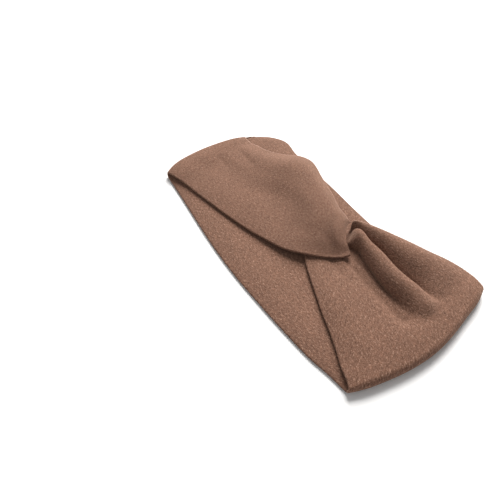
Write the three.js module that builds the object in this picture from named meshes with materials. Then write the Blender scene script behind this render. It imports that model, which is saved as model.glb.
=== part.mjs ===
// Twist-knot spa headband in brushed knit, lying flat with its knot up.
// One flattened tube of two knit layers runs round as a ring: along the floor as the back, up
// round an end fold at each side, and in to the knot as the left and right front panels.
// Millimetres, +Z up, +X along the folded band from its left end to its right end.
import * as THREE from "three";
import { mergeVertices } from "three/addons/utils/BufferGeometryUtils.js";

// ---- driving dimensions
const TUBE = 3.0; // thickness of the flattened tube, both layers
const LAYER = 0.9; // one knit layer
const SEAM = 0.6; // folded allowance of a side seam, inside the tube
const FLOOR = 0; // the plane that the band lies on
const SEAM_SHARE = 0.06; // share of the tube's width that a side seam takes
const JOIN_GAP = 1.2; // between the back and a front panel, at the top of an end fold
const KNOT_SEAM_LENGTH = 2.4; // bar of stitching at the end of the right panel, under the left one
const KNOT_SEAM_HEIGHT = 2.6;

// ---- stations round the ring, each a cross line of the tube's middle surface
// [name, [[share of the width from the lower edge, x, y, z], ...]]
const STATIONS = [
  // left front panel, from the knot to the left end
  ["A26", [[0, 36.67, 5.31, 8.5], [0.02, 36.17, 5.66, 8.5], [0.04, 35.67, 6.01, 8.51], [0.06, 35.18, 6.37, 8.58], [0.08, 34.7, 6.72, 8.69], [0.1, 34.23, 7.07, 8.84], [0.12, 33.75, 7.4, 9.01], [0.14, 33.26, 7.71, 9.17], [0.16, 32.74, 7.98, 9.32], [0.18, 32.19, 8.2, 9.45], [0.2, 31.62, 8.37, 9.57], [0.23, 30.74, 8.55, 9.73], [0.27, 29.55, 8.75, 9.93], [0.33, 27.77, 9.14, 10.24], [0.4, 25.83, 9.96, 10.63], [0.48, 23.74, 11.18, 11.1], [0.56, 21.79, 12.62, 11.52], [0.64, 19.98, 14.25, 11.85], [0.72, 18.31, 16.04, 12.12], [0.8, 16.88, 18.04, 12.29], [0.88, 15.84, 20.26, 12.3], [0.94, 15.34, 22.03, 12.2], [1, 14.89, 23.82, 12.09]]],
  ["A25", [[0, 35.7, 3.5, 8.51], [0.02, 35.24, 3.92, 8.5], [0.04, 34.78, 4.34, 8.52], [0.06, 34.32, 4.76, 8.58], [0.08, 33.88, 5.18, 8.7], [0.1, 33.45, 5.6, 8.86], [0.12, 33.02, 6, 9.04], [0.14, 32.56, 6.38, 9.22], [0.16, 32.08, 6.72, 9.39], [0.18, 31.56, 7.02, 9.55], [0.2, 31.02, 7.26, 9.7], [0.23, 30.15, 7.53, 9.91], [0.27, 28.96, 7.81, 10.18], [0.33, 27.19, 8.28, 10.59], [0.4, 25.23, 9.15, 11.11], [0.48, 23.12, 10.38, 11.74], [0.56, 21.15, 11.84, 12.29], [0.64, 19.3, 13.52, 12.69], [0.72, 17.61, 15.37, 12.98], [0.8, 16.18, 17.44, 13.14], [0.88, 15.19, 19.75, 13.12], [0.94, 14.76, 21.59, 12.98], [1, 14.37, 23.43, 12.83]]],
  ["A24", [[0, 33.73, 0.06, 8.53], [0.02, 33.31, 0.58, 8.53], [0.04, 32.89, 1.11, 8.55], [0.06, 32.48, 1.64, 8.62], [0.08, 32.1, 2.17, 8.74], [0.1, 31.72, 2.7, 8.91], [0.12, 31.33, 3.21, 9.11], [0.14, 30.93, 3.71, 9.32], [0.16, 30.5, 4.17, 9.54], [0.18, 30.02, 4.59, 9.74], [0.2, 29.5, 4.96, 9.95], [0.23, 28.66, 5.4, 10.25], [0.27, 27.48, 5.87, 10.66], [0.33, 25.69, 6.56, 11.28], [0.4, 23.7, 7.56, 12.05], [0.48, 21.5, 8.83, 12.95], [0.56, 19.42, 10.39, 13.66], [0.64, 17.5, 12.24, 14.09], [0.72, 15.77, 14.28, 14.33], [0.8, 14.34, 16.57, 14.42], [0.88, 13.44, 19.1, 14.31], [0.94, 13.05, 21.07, 14.12], [1, 12.66, 23.05, 13.92]]],
  ["A23", [[0, 31.04, -3.81, 8.6], [0.02, 30.62, -3.18, 8.59], [0.04, 30.2, -2.55, 8.61], [0.06, 29.79, -1.92, 8.69], [0.08, 29.41, -1.29, 8.84], [0.1, 29.03, -0.67, 9.03], [0.12, 28.65, -0.06, 9.26], [0.14, 28.25, 0.54, 9.51], [0.16, 27.82, 1.1, 9.77], [0.18, 27.36, 1.64, 10.03], [0.2, 26.85, 2.13, 10.28], [0.23, 26.03, 2.78, 10.68], [0.27, 24.88, 3.56, 11.24], [0.33, 23.12, 4.67, 12.09], [0.4, 21.08, 5.96, 13.11], [0.48, 18.73, 7.46, 14.25], [0.56, 16.5, 9.33, 15.01], [0.64, 14.45, 11.52, 15.32], [0.72, 12.62, 13.92, 15.35], [0.8, 11.11, 16.53, 15.25], [0.88, 10.06, 19.33, 14.96], [0.94, 9.42, 21.48, 14.67], [1, 8.75, 23.61, 14.39]]],
  ["A22", [[0, 27.77, -7.33, 8.61], [0.02, 27.3, -6.65, 8.6], [0.04, 26.83, -5.97, 8.63], [0.06, 26.36, -5.29, 8.7], [0.08, 25.9, -4.61, 8.83], [0.1, 25.45, -3.94, 9.01], [0.12, 25, -3.28, 9.22], [0.14, 24.56, -2.63, 9.46], [0.16, 24.1, -1.98, 9.71], [0.18, 23.64, -1.35, 9.98], [0.2, 23.17, -0.73, 10.25], [0.23, 22.44, 0.19, 10.65], [0.27, 21.44, 1.38, 11.2], [0.33, 19.92, 3.11, 12.07], [0.4, 18.13, 5.1, 13.12], [0.48, 16.04, 7.35, 14.26], [0.56, 13.97, 9.71, 15.25], [0.64, 11.93, 12.24, 15.81], [0.72, 9.94, 14.88, 15.95], [0.8, 8.08, 17.61, 15.83], [0.88, 6.42, 20.41, 15.35], [0.94, 5.24, 22.51, 14.82], [1, 4.05, 24.61, 14.3]]],
  ["A21", [[0, 24.22, -10.69, 8.61], [0.02, 23.69, -9.93, 8.6], [0.04, 23.16, -9.17, 8.63], [0.06, 22.63, -8.42, 8.7], [0.08, 22.1, -7.67, 8.82], [0.1, 21.57, -6.93, 8.98], [0.12, 21.05, -6.19, 9.18], [0.14, 20.53, -5.45, 9.4], [0.16, 20.02, -4.73, 9.65], [0.18, 19.51, -4, 9.9], [0.2, 19, -3.27, 10.17], [0.23, 18.24, -2.18, 10.57], [0.27, 17.24, -0.72, 11.1], [0.33, 15.76, 1.47, 11.94], [0.4, 14.07, 4.02, 12.99], [0.48, 12.13, 6.97, 14.09], [0.56, 10.18, 9.94, 15.13], [0.64, 8.19, 12.96, 15.89], [0.72, 6.13, 16.01, 16.23], [0.8, 4.03, 19.06, 16.18], [0.88, 1.89, 22.01, 15.59], [0.94, 0.28, 24.15, 14.85], [1, -1.32, 26.29, 14.11]]],
  ["A20", [[0, 21.07, -13.53, 8.61], [0.02, 20.5, -12.68, 8.6], [0.04, 19.93, -11.82, 8.63], [0.06, 19.36, -10.97, 8.71], [0.08, 18.79, -10.12, 8.83], [0.1, 18.22, -9.28, 8.98], [0.12, 17.66, -8.44, 9.18], [0.14, 17.1, -7.61, 9.39], [0.16, 16.54, -6.78, 9.63], [0.18, 15.98, -5.95, 9.88], [0.2, 15.43, -5.12, 10.14], [0.23, 14.61, -3.88, 10.54], [0.27, 13.52, -2.21, 11.06], [0.33, 11.91, 0.28, 11.92], [0.4, 10.06, 3.17, 13], [0.48, 7.93, 6.51, 14.11], [0.56, 5.8, 9.88, 15.15], [0.64, 3.63, 13.28, 15.91], [0.72, 1.4, 16.72, 16.28], [0.8, -0.86, 20.15, 16.25], [0.88, -3.16, 23.5, 15.59], [0.94, -4.87, 25.93, 14.78], [1, -6.58, 28.37, 13.97]]],
  ["A19", [[0, 17.36, -16.56, 8.46], [0.02, 16.74, -15.6, 8.46], [0.04, 16.13, -14.63, 8.49], [0.06, 15.52, -13.67, 8.57], [0.08, 14.91, -12.71, 8.69], [0.1, 14.3, -11.75, 8.84], [0.12, 13.69, -10.8, 9.03], [0.14, 13.09, -9.85, 9.24], [0.16, 12.49, -8.91, 9.47], [0.18, 11.89, -7.96, 9.71], [0.2, 11.29, -7.02, 9.97], [0.23, 10.39, -5.61, 10.35], [0.27, 9.19, -3.73, 10.87], [0.33, 7.42, -0.93, 11.74], [0.4, 5.35, 2.33, 12.83], [0.48, 2.98, 6.07, 13.98], [0.56, 0.6, 9.83, 15.07], [0.64, -1.81, 13.63, 15.86], [0.72, -4.25, 17.48, 16.27], [0.8, -6.71, 21.34, 16.26], [0.88, -9.13, 25.15, 15.54], [0.94, -10.92, 27.94, 14.66], [1, -12.7, 30.74, 13.79]]],
  ["A18", [[0, 13.48, -19.32, 8.04], [0.02, 12.82, -18.26, 8.04], [0.04, 12.17, -17.2, 8.08], [0.06, 11.51, -16.14, 8.16], [0.08, 10.85, -15.08, 8.28], [0.1, 10.2, -14.03, 8.43], [0.12, 9.55, -12.98, 8.62], [0.14, 8.9, -11.93, 8.83], [0.16, 8.25, -10.88, 9.06], [0.18, 7.6, -9.84, 9.3], [0.2, 6.96, -8.8, 9.55], [0.23, 5.99, -7.24, 9.94], [0.27, 4.7, -5.16, 10.45], [0.33, 2.78, -2.06, 11.31], [0.4, 0.54, 1.55, 12.39], [0.48, -2.02, 5.67, 13.59], [0.56, -4.57, 9.79, 14.82], [0.64, -7.16, 13.97, 15.73], [0.72, -9.78, 18.2, 16.25], [0.8, -12.42, 22.44, 16.28], [0.88, -15.02, 26.64, 15.51], [0.94, -16.93, 29.72, 14.54], [1, -18.84, 32.8, 13.58]]],
  ["A17", [[0, 10.06, -21.44, 7.54], [0.02, 9.37, -20.31, 7.55], [0.04, 8.67, -19.17, 7.58], [0.06, 7.98, -18.03, 7.67], [0.08, 7.29, -16.9, 7.79], [0.1, 6.6, -15.77, 7.95], [0.12, 5.91, -14.64, 8.13], [0.14, 5.22, -13.52, 8.35], [0.16, 4.54, -12.4, 8.58], [0.18, 3.85, -11.28, 8.82], [0.2, 3.17, -10.16, 9.08], [0.23, 2.14, -8.48, 9.46], [0.27, 0.78, -6.25, 9.97], [0.33, -1.26, -2.91, 10.8], [0.4, -3.63, 0.98, 11.85], [0.48, -6.34, 5.4, 13.12], [0.56, -9.02, 9.8, 14.51], [0.64, -11.75, 14.26, 15.57], [0.72, -14.51, 18.78, 16.19], [0.8, -17.29, 23.33, 16.28], [0.88, -20.03, 27.82, 15.47], [0.94, -22.05, 31.12, 14.43], [1, -24.07, 34.42, 13.4]]],
  ["A16", [[0, 5.88, -23.61, 7.01], [0.02, 5.15, -22.39, 7.02], [0.04, 4.42, -21.17, 7.06], [0.06, 3.69, -19.95, 7.14], [0.08, 2.96, -18.74, 7.26], [0.1, 2.23, -17.52, 7.42], [0.12, 1.51, -16.32, 7.61], [0.14, 0.78, -15.11, 7.82], [0.16, 0.06, -13.9, 8.05], [0.18, -0.66, -12.7, 8.29], [0.2, -1.38, -11.5, 8.54], [0.23, -2.46, -9.7, 8.91], [0.27, -3.9, -7.3, 9.4], [0.33, -6.06, -3.7, 10.18], [0.4, -8.57, 0.49, 11.18], [0.48, -11.42, 5.23, 12.52], [0.56, -14.23, 9.92, 14.1], [0.64, -17.08, 14.68, 15.33], [0.72, -19.99, 19.52, 16.07], [0.8, -22.91, 24.39, 16.24], [0.88, -25.8, 29.21, 15.4], [0.94, -27.92, 32.74, 14.3], [1, -30.04, 36.28, 13.21]]],
  ["A15", [[0, 1.58, -25.33, 6.61], [0.02, 0.81, -24.03, 6.62], [0.04, 0.05, -22.73, 6.66], [0.06, -0.71, -21.44, 6.74], [0.08, -1.47, -20.15, 6.86], [0.1, -2.23, -18.86, 7.01], [0.12, -2.99, -17.57, 7.19], [0.14, -3.75, -16.28, 7.39], [0.16, -4.5, -15, 7.61], [0.18, -5.26, -13.72, 7.83], [0.2, -6.01, -12.44, 8.07], [0.23, -7.14, -10.52, 8.43], [0.27, -8.65, -7.96, 8.88], [0.33, -10.92, -4.11, 9.58], [0.4, -13.55, 0.35, 10.51], [0.48, -16.52, 5.4, 11.9], [0.56, -19.44, 10.36, 13.66], [0.64, -22.41, 15.4, 15.05], [0.72, -25.43, 20.53, 15.92], [0.8, -28.48, 25.71, 16.18], [0.88, -31.5, 30.84, 15.35], [0.94, -33.72, 34.6, 14.21], [1, -35.94, 38.37, 13.09]]],
  ["A14", [[0, -2.25, -26.51, 6.33], [0.02, -3.04, -25.15, 6.33], [0.04, -3.82, -23.8, 6.37], [0.06, -4.61, -22.44, 6.45], [0.08, -5.39, -21.09, 6.56], [0.1, -6.17, -19.74, 6.7], [0.12, -6.95, -18.39, 6.87], [0.14, -7.74, -17.04, 7.06], [0.16, -8.51, -15.7, 7.26], [0.18, -9.29, -14.35, 7.47], [0.2, -10.07, -13.01, 7.69], [0.23, -11.24, -10.99, 8.02], [0.27, -12.8, -8.3, 8.45], [0.33, -15.13, -4.27, 9.06], [0.4, -17.85, 0.42, 9.91], [0.48, -20.91, 5.71, 11.33], [0.56, -23.91, 10.87, 13.24], [0.64, -26.95, 16.13, 14.78], [0.72, -30.06, 21.49, 15.75], [0.8, -33.2, 26.9, 16.09], [0.88, -36.31, 32.28, 15.29], [0.94, -38.6, 36.23, 14.15], [1, -40.89, 40.18, 13.02]]],
  ["A13", [[0, -7.15, -27.87, 6.03], [0.02, -7.95, -26.46, 6.04], [0.04, -8.74, -25.05, 6.07], [0.06, -9.54, -23.63, 6.14], [0.08, -10.33, -22.22, 6.25], [0.1, -11.13, -20.81, 6.38], [0.12, -11.92, -19.4, 6.53], [0.14, -12.71, -18, 6.71], [0.16, -13.5, -16.59, 6.89], [0.18, -14.29, -15.19, 7.09], [0.2, -15.08, -13.79, 7.29], [0.23, -16.27, -11.68, 7.59], [0.27, -17.85, -8.87, 7.96], [0.33, -20.22, -4.65, 8.47], [0.4, -22.99, 0.25, 9.2], [0.48, -26.09, 5.77, 10.64], [0.56, -29.11, 11.13, 12.7], [0.64, -32.18, 16.58, 14.39], [0.72, -35.32, 22.16, 15.49], [0.8, -38.49, 27.8, 15.92], [0.88, -41.65, 33.4, 15.16], [0.94, -43.97, 37.53, 14.02], [1, -46.29, 41.65, 12.89]]],
  ["A12", [[0, -12.69, -29.48, 5.76], [0.02, -13.47, -28.02, 5.77], [0.04, -14.25, -26.57, 5.8], [0.06, -15.03, -25.12, 5.87], [0.08, -15.81, -23.67, 5.97], [0.1, -16.59, -22.22, 6.09], [0.12, -17.37, -20.77, 6.24], [0.14, -18.14, -19.33, 6.4], [0.16, -18.92, -17.88, 6.57], [0.18, -19.69, -16.44, 6.75], [0.2, -20.47, -15, 6.93], [0.23, -21.63, -12.83, 7.19], [0.27, -23.19, -9.94, 7.51], [0.33, -25.52, -5.59, 7.89], [0.4, -28.23, -0.54, 8.49], [0.48, -31.28, 5.12, 9.91], [0.56, -34.22, 10.61, 12.1], [0.64, -37.22, 16.19, 13.91], [0.72, -40.28, 21.9, 15.12], [0.8, -43.39, 27.68, 15.65], [0.88, -46.48, 33.44, 14.92], [0.94, -48.76, 37.68, 13.78], [1, -51.04, 41.92, 12.64]]],
  ["A11", [[0, -17.83, -30.97, 5.56], [0.02, -18.58, -29.5, 5.57], [0.04, -19.33, -28.03, 5.6], [0.06, -20.08, -26.56, 5.66], [0.08, -20.82, -25.09, 5.76], [0.1, -21.57, -23.62, 5.87], [0.12, -22.32, -22.15, 6.01], [0.14, -23.06, -20.68, 6.16], [0.16, -23.81, -19.22, 6.32], [0.18, -24.55, -17.75, 6.49], [0.2, -25.3, -16.29, 6.65], [0.23, -26.41, -14.09, 6.89], [0.27, -27.91, -11.16, 7.15], [0.33, -30.15, -6.75, 7.41], [0.4, -32.76, -1.61, 7.87], [0.48, -35.68, 4.13, 9.27], [0.56, -38.49, 9.66, 11.53], [0.64, -41.36, 15.3, 13.43], [0.72, -44.29, 21.07, 14.75], [0.8, -47.27, 26.92, 15.37], [0.88, -50.24, 32.76, 14.66], [0.94, -52.42, 37.06, 13.5], [1, -54.6, 41.35, 12.35]]],
  ["A10", [[0, -24.07, -32.66, 5.36], [0.02, -24.77, -31.18, 5.37], [0.04, -25.47, -29.7, 5.4], [0.06, -26.17, -28.22, 5.46], [0.08, -26.86, -26.74, 5.55], [0.1, -27.56, -25.26, 5.66], [0.12, -28.26, -23.78, 5.79], [0.14, -28.95, -22.31, 5.93], [0.16, -29.65, -20.83, 6.08], [0.18, -30.35, -19.35, 6.23], [0.2, -31.04, -17.88, 6.38], [0.23, -32.09, -15.66, 6.58], [0.27, -33.48, -12.71, 6.79], [0.33, -35.58, -8.26, 6.92], [0.4, -38.02, -3.09, 7.23], [0.48, -40.75, 2.7, 8.58], [0.56, -43.37, 8.25, 10.89], [0.64, -46.04, 13.89, 12.85], [0.72, -48.77, 19.68, 14.26], [0.8, -51.54, 25.57, 14.96], [0.88, -54.32, 31.45, 14.27], [0.94, -56.36, 35.76, 13.11], [1, -58.39, 40.08, 11.96]]],
  ["A9", [[0, -30.48, -34.15, 5.23], [0.02, -31.12, -32.67, 5.24], [0.04, -31.76, -31.2, 5.26], [0.06, -32.4, -29.73, 5.32], [0.08, -33.04, -28.25, 5.41], [0.1, -33.68, -26.78, 5.51], [0.12, -34.31, -25.31, 5.63], [0.14, -34.95, -23.84, 5.76], [0.16, -35.59, -22.37, 5.9], [0.18, -36.23, -20.91, 6.03], [0.2, -36.86, -19.44, 6.17], [0.23, -37.82, -17.23, 6.35], [0.27, -39.09, -14.29, 6.52], [0.33, -41.01, -9.87, 6.57], [0.4, -43.25, -4.71, 6.79], [0.48, -45.74, 1.05, 8.08], [0.56, -48.14, 6.57, 10.34], [0.64, -50.57, 12.18, 12.29], [0.72, -53.06, 17.93, 13.71], [0.8, -55.6, 23.78, 14.45], [0.88, -58.14, 29.63, 13.79], [0.94, -60, 33.92, 12.65], [1, -61.86, 38.22, 11.52]]],
  ["A8", [[0, -36.11, -35.27, 5.17], [0.02, -36.69, -33.82, 5.17], [0.04, -37.27, -32.36, 5.2], [0.06, -37.85, -30.91, 5.25], [0.08, -38.43, -29.46, 5.33], [0.1, -39, -28.01, 5.43], [0.12, -39.58, -26.56, 5.54], [0.14, -40.16, -25.11, 5.66], [0.16, -40.73, -23.66, 5.79], [0.18, -41.31, -22.21, 5.92], [0.2, -41.89, -20.77, 6.04], [0.23, -42.75, -18.59, 6.2], [0.27, -43.91, -15.69, 6.35], [0.33, -45.64, -11.33, 6.39], [0.4, -47.67, -6.25, 6.57], [0.48, -49.93, -0.56, 7.78], [0.56, -52.1, 4.89, 9.94], [0.64, -54.3, 10.43, 11.82], [0.72, -56.56, 16.1, 13.2], [0.8, -58.85, 21.87, 13.93], [0.88, -61.15, 27.64, 13.3], [0.94, -62.84, 31.87, 12.19], [1, -64.52, 36.11, 11.11]]],
  ["A7", [[0, -42.72, -36.5, 5.12], [0.02, -43.23, -35.07, 5.12], [0.04, -43.73, -33.65, 5.15], [0.06, -44.24, -32.23, 5.2], [0.08, -44.74, -30.8, 5.27], [0.1, -45.25, -29.38, 5.36], [0.12, -45.75, -27.96, 5.46], [0.14, -46.25, -26.54, 5.57], [0.16, -46.76, -25.12, 5.69], [0.18, -47.26, -23.7, 5.81], [0.2, -47.77, -22.28, 5.92], [0.23, -48.52, -20.15, 6.07], [0.27, -49.53, -17.3, 6.21], [0.33, -51.04, -13.03, 6.23], [0.4, -52.81, -8.05, 6.38], [0.48, -54.79, -2.47, 7.5], [0.56, -56.69, 2.9, 9.52], [0.64, -58.62, 8.35, 11.27], [0.72, -60.6, 13.91, 12.58], [0.8, -62.6, 19.56, 13.28], [0.88, -64.6, 25.21, 12.69], [0.94, -66.08, 29.37, 11.65], [1, -67.55, 33.53, 10.62]]],
  ["A6", [[0, -49.29, -37.7, 5.08], [0.02, -49.72, -36.3, 5.08], [0.04, -50.16, -34.9, 5.1], [0.06, -50.6, -33.5, 5.14], [0.08, -51.03, -32.1, 5.21], [0.1, -51.47, -30.7, 5.29], [0.12, -51.9, -29.3, 5.38], [0.14, -52.34, -27.9, 5.49], [0.16, -52.78, -26.51, 5.59], [0.18, -53.21, -25.11, 5.7], [0.2, -53.65, -23.71, 5.8], [0.23, -54.3, -21.62, 5.94], [0.27, -55.17, -18.82, 6.06], [0.33, -56.48, -14.62, 6.07], [0.4, -58.01, -9.72, 6.19], [0.48, -59.73, -4.22, 7.22], [0.56, -61.38, 1.09, 9.08], [0.64, -63.06, 6.47, 10.71], [0.72, -64.77, 11.94, 11.96], [0.8, -66.5, 17.5, 12.64], [0.88, -68.24, 23.06, 12.09], [0.94, -69.51, 27.16, 11.12], [1, -70.79, 31.26, 10.17]]],
  ["A5", [[0, -56.75, -39.02, 5.04], [0.02, -57.11, -37.64, 5.04], [0.04, -57.47, -36.26, 5.06], [0.06, -57.84, -34.89, 5.1], [0.08, -58.2, -33.51, 5.15], [0.1, -58.56, -32.14, 5.23], [0.12, -58.92, -30.76, 5.31], [0.14, -59.29, -29.39, 5.4], [0.16, -59.65, -28.01, 5.5], [0.18, -60.01, -26.64, 5.59], [0.2, -60.37, -25.27, 5.68], [0.23, -60.92, -23.2, 5.8], [0.27, -61.64, -20.45, 5.91], [0.33, -62.73, -16.32, 5.9], [0.4, -64, -11.5, 6], [0.48, -65.43, -6.08, 6.9], [0.56, -66.82, -0.81, 8.57], [0.64, -68.22, 4.5, 10.06], [0.72, -69.64, 9.89, 11.23], [0.8, -71.09, 15.36, 11.88], [0.88, -72.53, 20.83, 11.42], [0.94, -73.6, 24.88, 10.55], [1, -74.66, 28.92, 9.69]]],
  ["A4", [[0, -65.06, -40.42, 5.01], [0.02, -65.34, -39.07, 5.01], [0.04, -65.63, -37.71, 5.02], [0.06, -65.92, -36.36, 5.06], [0.08, -66.2, -35, 5.11], [0.1, -66.49, -33.65, 5.17], [0.12, -66.78, -32.29, 5.24], [0.14, -67.06, -30.94, 5.32], [0.16, -67.35, -29.59, 5.41], [0.18, -67.64, -28.23, 5.49], [0.2, -67.92, -26.88, 5.57], [0.23, -68.35, -24.85, 5.67], [0.27, -68.93, -22.14, 5.76], [0.33, -69.79, -18.07, 5.75], [0.4, -70.79, -13.33, 5.83], [0.48, -71.93, -7.97, 6.6], [0.56, -73.03, -2.74, 8.06], [0.64, -74.15, 2.53, 9.37], [0.72, -75.28, 7.85, 10.43], [0.8, -76.42, 13.23, 11.04], [0.88, -77.56, 18.63, 10.66], [0.94, -78.41, 22.63, 9.91], [1, -79.25, 26.64, 9.17]]],
  ["A3", [[0, -73.18, -41.71, 4.99], [0.02, -73.4, -40.37, 4.99], [0.04, -73.62, -39.02, 5.01], [0.06, -73.84, -37.68, 5.04], [0.08, -74.07, -36.34, 5.08], [0.1, -74.29, -35, 5.14], [0.12, -74.51, -33.65, 5.2], [0.14, -74.74, -32.31, 5.27], [0.16, -74.96, -30.97, 5.34], [0.18, -75.18, -29.63, 5.42], [0.2, -75.41, -28.28, 5.48], [0.23, -75.74, -26.27, 5.58], [0.27, -76.19, -23.58, 5.66], [0.33, -76.86, -19.55, 5.64], [0.4, -77.64, -14.85, 5.7], [0.48, -78.52, -9.52, 6.37], [0.56, -79.39, -4.3, 7.66], [0.64, -80.26, 0.95, 8.81], [0.72, -81.14, 6.25, 9.72], [0.8, -82.03, 11.6, 10.24], [0.88, -82.92, 16.96, 9.92], [0.94, -83.58, 20.94, 9.29], [1, -84.24, 24.92, 8.66]]],
  ["A2", [[0, -82.83, -43.14, 5], [0.02, -83, -41.8, 5], [0.04, -83.16, -40.45, 5.01], [0.06, -83.32, -39.11, 5.03], [0.08, -83.48, -37.77, 5.07], [0.1, -83.64, -36.43, 5.12], [0.12, -83.8, -35.09, 5.18], [0.14, -83.96, -33.75, 5.24], [0.16, -84.12, -32.41, 5.3], [0.18, -84.28, -31.07, 5.36], [0.2, -84.44, -29.73, 5.42], [0.23, -84.68, -27.72, 5.5], [0.27, -85, -25.04, 5.57], [0.33, -85.48, -21.02, 5.56], [0.4, -86.04, -16.32, 5.61], [0.48, -86.68, -10.99, 6.18], [0.56, -87.31, -5.75, 7.31], [0.64, -87.94, -0.47, 8.28], [0.72, -88.57, 4.85, 8.97], [0.8, -89.21, 10.2, 9.32], [0.88, -89.85, 15.56, 9.05], [0.94, -90.33, 19.55, 8.56], [1, -90.81, 23.54, 8.06]]],
  ["A1", [[0, -92.51, -44.7, 5.11], [0.02, -92.78, -43.4, 5.19], [0.04, -93.05, -42.1, 5.28], [0.06, -93.31, -40.79, 5.37], [0.08, -93.55, -39.47, 5.45], [0.1, -93.78, -38.15, 5.54], [0.12, -93.98, -36.82, 5.63], [0.14, -94.17, -35.48, 5.73], [0.16, -94.34, -34.15, 5.83], [0.18, -94.5, -32.8, 5.92], [0.2, -94.65, -31.46, 6], [0.23, -94.87, -29.44, 6.09], [0.27, -95.13, -26.74, 6.14], [0.33, -95.46, -22.68, 6.1], [0.4, -95.8, -17.95, 6.12], [0.48, -96.1, -12.55, 6.44], [0.56, -96.33, -7.2, 7.09], [0.64, -96.5, -1.83, 7.62], [0.72, -96.61, 3.57, 7.93], [0.8, -96.65, 8.97, 8.06], [0.88, -96.62, 14.35, 7.92], [0.94, -96.53, 18.37, 7.68], [1, -96.39, 22.38, 7.43]]],
  // left end fold, from its top to the floor
  ["L0", [[0, -95.47, -45.45, 5.28], [0.02, -96, -44.21, 5.49], [0.04, -96.51, -42.96, 5.7], [0.06, -96.99, -41.69, 5.89], [0.08, -97.44, -40.4, 6.06], [0.1, -97.85, -39.1, 6.21], [0.12, -98.22, -37.79, 6.37], [0.14, -98.53, -36.46, 6.54], [0.16, -98.79, -35.11, 6.7], [0.18, -99.02, -33.77, 6.85], [0.2, -99.24, -32.41, 6.98], [0.23, -99.55, -30.37, 7.09], [0.27, -99.87, -27.64, 7.13], [0.33, -100.23, -23.52, 7.05], [0.4, -100.5, -18.7, 7.04], [0.48, -100.6, -13.19, 7.09], [0.56, -100.54, -7.69, 7.19], [0.64, -100.31, -2.2, 7.27], [0.72, -99.92, 3.29, 7.32], [0.8, -99.35, 8.76, 7.34], [0.88, -98.6, 14.21, 7.32], [0.94, -97.87, 18.26, 7.28], [1, -97.01, 22.29, 7.24]]],
  ["L1", [[0, -104.18, -47.64, 5.23], [0.06, -105.71, -43.72, 5.93], [0.12, -107.07, -39.72, 6.45], [0.2, -108.14, -34.17, 7.1], [0.35, -109.41, -23.59, 7.15], [0.5, -109.75, -12.93, 7.14], [0.65, -109.32, -2.27, 7.13], [0.8, -108.2, 8.34, 7.13], [0.88, -107.29, 13.95, 7.13], [0.94, -106.42, 18.13, 7.13], [1, -105.4, 22.27, 7.14]]],
  ["L12", [[0, -106.07, -48.04, 5.05], [0.06, -107.73, -44.11, 5.71], [0.12, -109.23, -40.09, 6.21], [0.2, -110.48, -34.51, 6.83], [0.35, -111.8, -23.8, 6.88], [0.5, -112.16, -13.01, 6.87], [0.65, -111.73, -2.21, 6.87], [0.8, -110.59, 8.53, 6.87], [0.88, -109.68, 14.21, 6.87], [0.94, -108.79, 18.44, 6.87], [1, -107.73, 22.63, 6.87]]],
  ["L2", [[0, -107.04, -48.26, 4.69], [0.06, -108.82, -44.32, 5.29], [0.12, -110.42, -40.29, 5.73], [0.2, -111.8, -34.67, 6.29], [0.35, -113.15, -23.85, 6.34], [0.5, -113.51, -12.95, 6.33], [0.65, -113.08, -2.05, 6.33], [0.8, -111.91, 8.79, 6.33], [0.88, -110.97, 14.53, 6.33], [0.94, -110.06, 18.8, 6.33], [1, -108.96, 23.02, 6.33]]],
  ["L23", [[0, -107.53, -48.42, 3.91], [0.06, -109.4, -44.45, 4.35], [0.12, -111.09, -40.39, 4.69], [0.2, -112.57, -34.71, 5.11], [0.35, -113.95, -23.77, 5.15], [0.5, -114.3, -12.74, 5.14], [0.65, -113.84, -1.72, 5.14], [0.8, -112.63, 9.25, 5.14], [0.88, -111.66, 15.05, 5.14], [0.94, -110.7, 19.36, 5.14], [1, -109.55, 23.63, 5.14]]],
  ["L3", [[0, -107.63, -48.49, 3.47], [0.06, -109.54, -44.49, 3.84], [0.12, -111.27, -40.39, 4.11], [0.2, -112.79, -34.67, 4.45], [0.35, -114.17, -23.64, 4.49], [0.5, -114.51, -12.52, 4.48], [0.65, -114.04, -1.4, 4.48], [0.8, -112.8, 9.66, 4.49], [0.88, -111.83, 15.52, 4.49], [0.94, -110.85, 19.86, 4.49], [1, -109.68, 24.15, 4.49]]],
  ["L34", [[0, -107.5, -48.7, 2.56], [0.06, -109.49, -44.49, 2.76], [0.12, -111.27, -40.19, 2.91], [0.2, -112.82, -34.18, 3.1], [0.35, -114.17, -22.62, 3.11], [0.5, -114.45, -10.98, 3.12], [0.65, -113.95, 0.66, 3.13], [0.8, -112.75, 12.24, 3.16], [0.88, -111.83, 18.38, 3.18], [0.94, -110.89, 22.95, 3.19], [1, -109.78, 27.47, 3.21]]],
  ["L4", [[0, -106.9, -48.91, 2.03], [0.06, -108.94, -44.43, 2.14], [0.12, -110.73, -39.86, 2.22], [0.2, -112.24, -33.48, 2.31], [0.35, -113.54, -21.26, 2.3], [0.5, -113.72, -8.96, 2.32], [0.65, -113.18, 3.32, 2.35], [0.8, -112.01, 15.56, 2.41], [0.88, -111.16, 22.07, 2.44], [0.94, -110.28, 26.91, 2.47], [1, -109.27, 31.72, 2.5]]],
  ["L45", [[0, -105.63, -49.16, 1.65], [0.06, -107.69, -44.36, 1.68], [0.12, -109.46, -39.46, 1.71], [0.2, -110.91, -32.66, 1.73], [0.35, -112.13, -19.68, 1.73], [0.5, -112.14, -6.64, 1.74], [0.65, -111.39, 6.38, 1.76], [0.8, -110.08, 19.36, 1.79], [0.88, -109.16, 26.26, 1.81], [0.94, -108.26, 31.4, 1.83], [1, -107.26, 36.52, 1.85]]],
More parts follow.
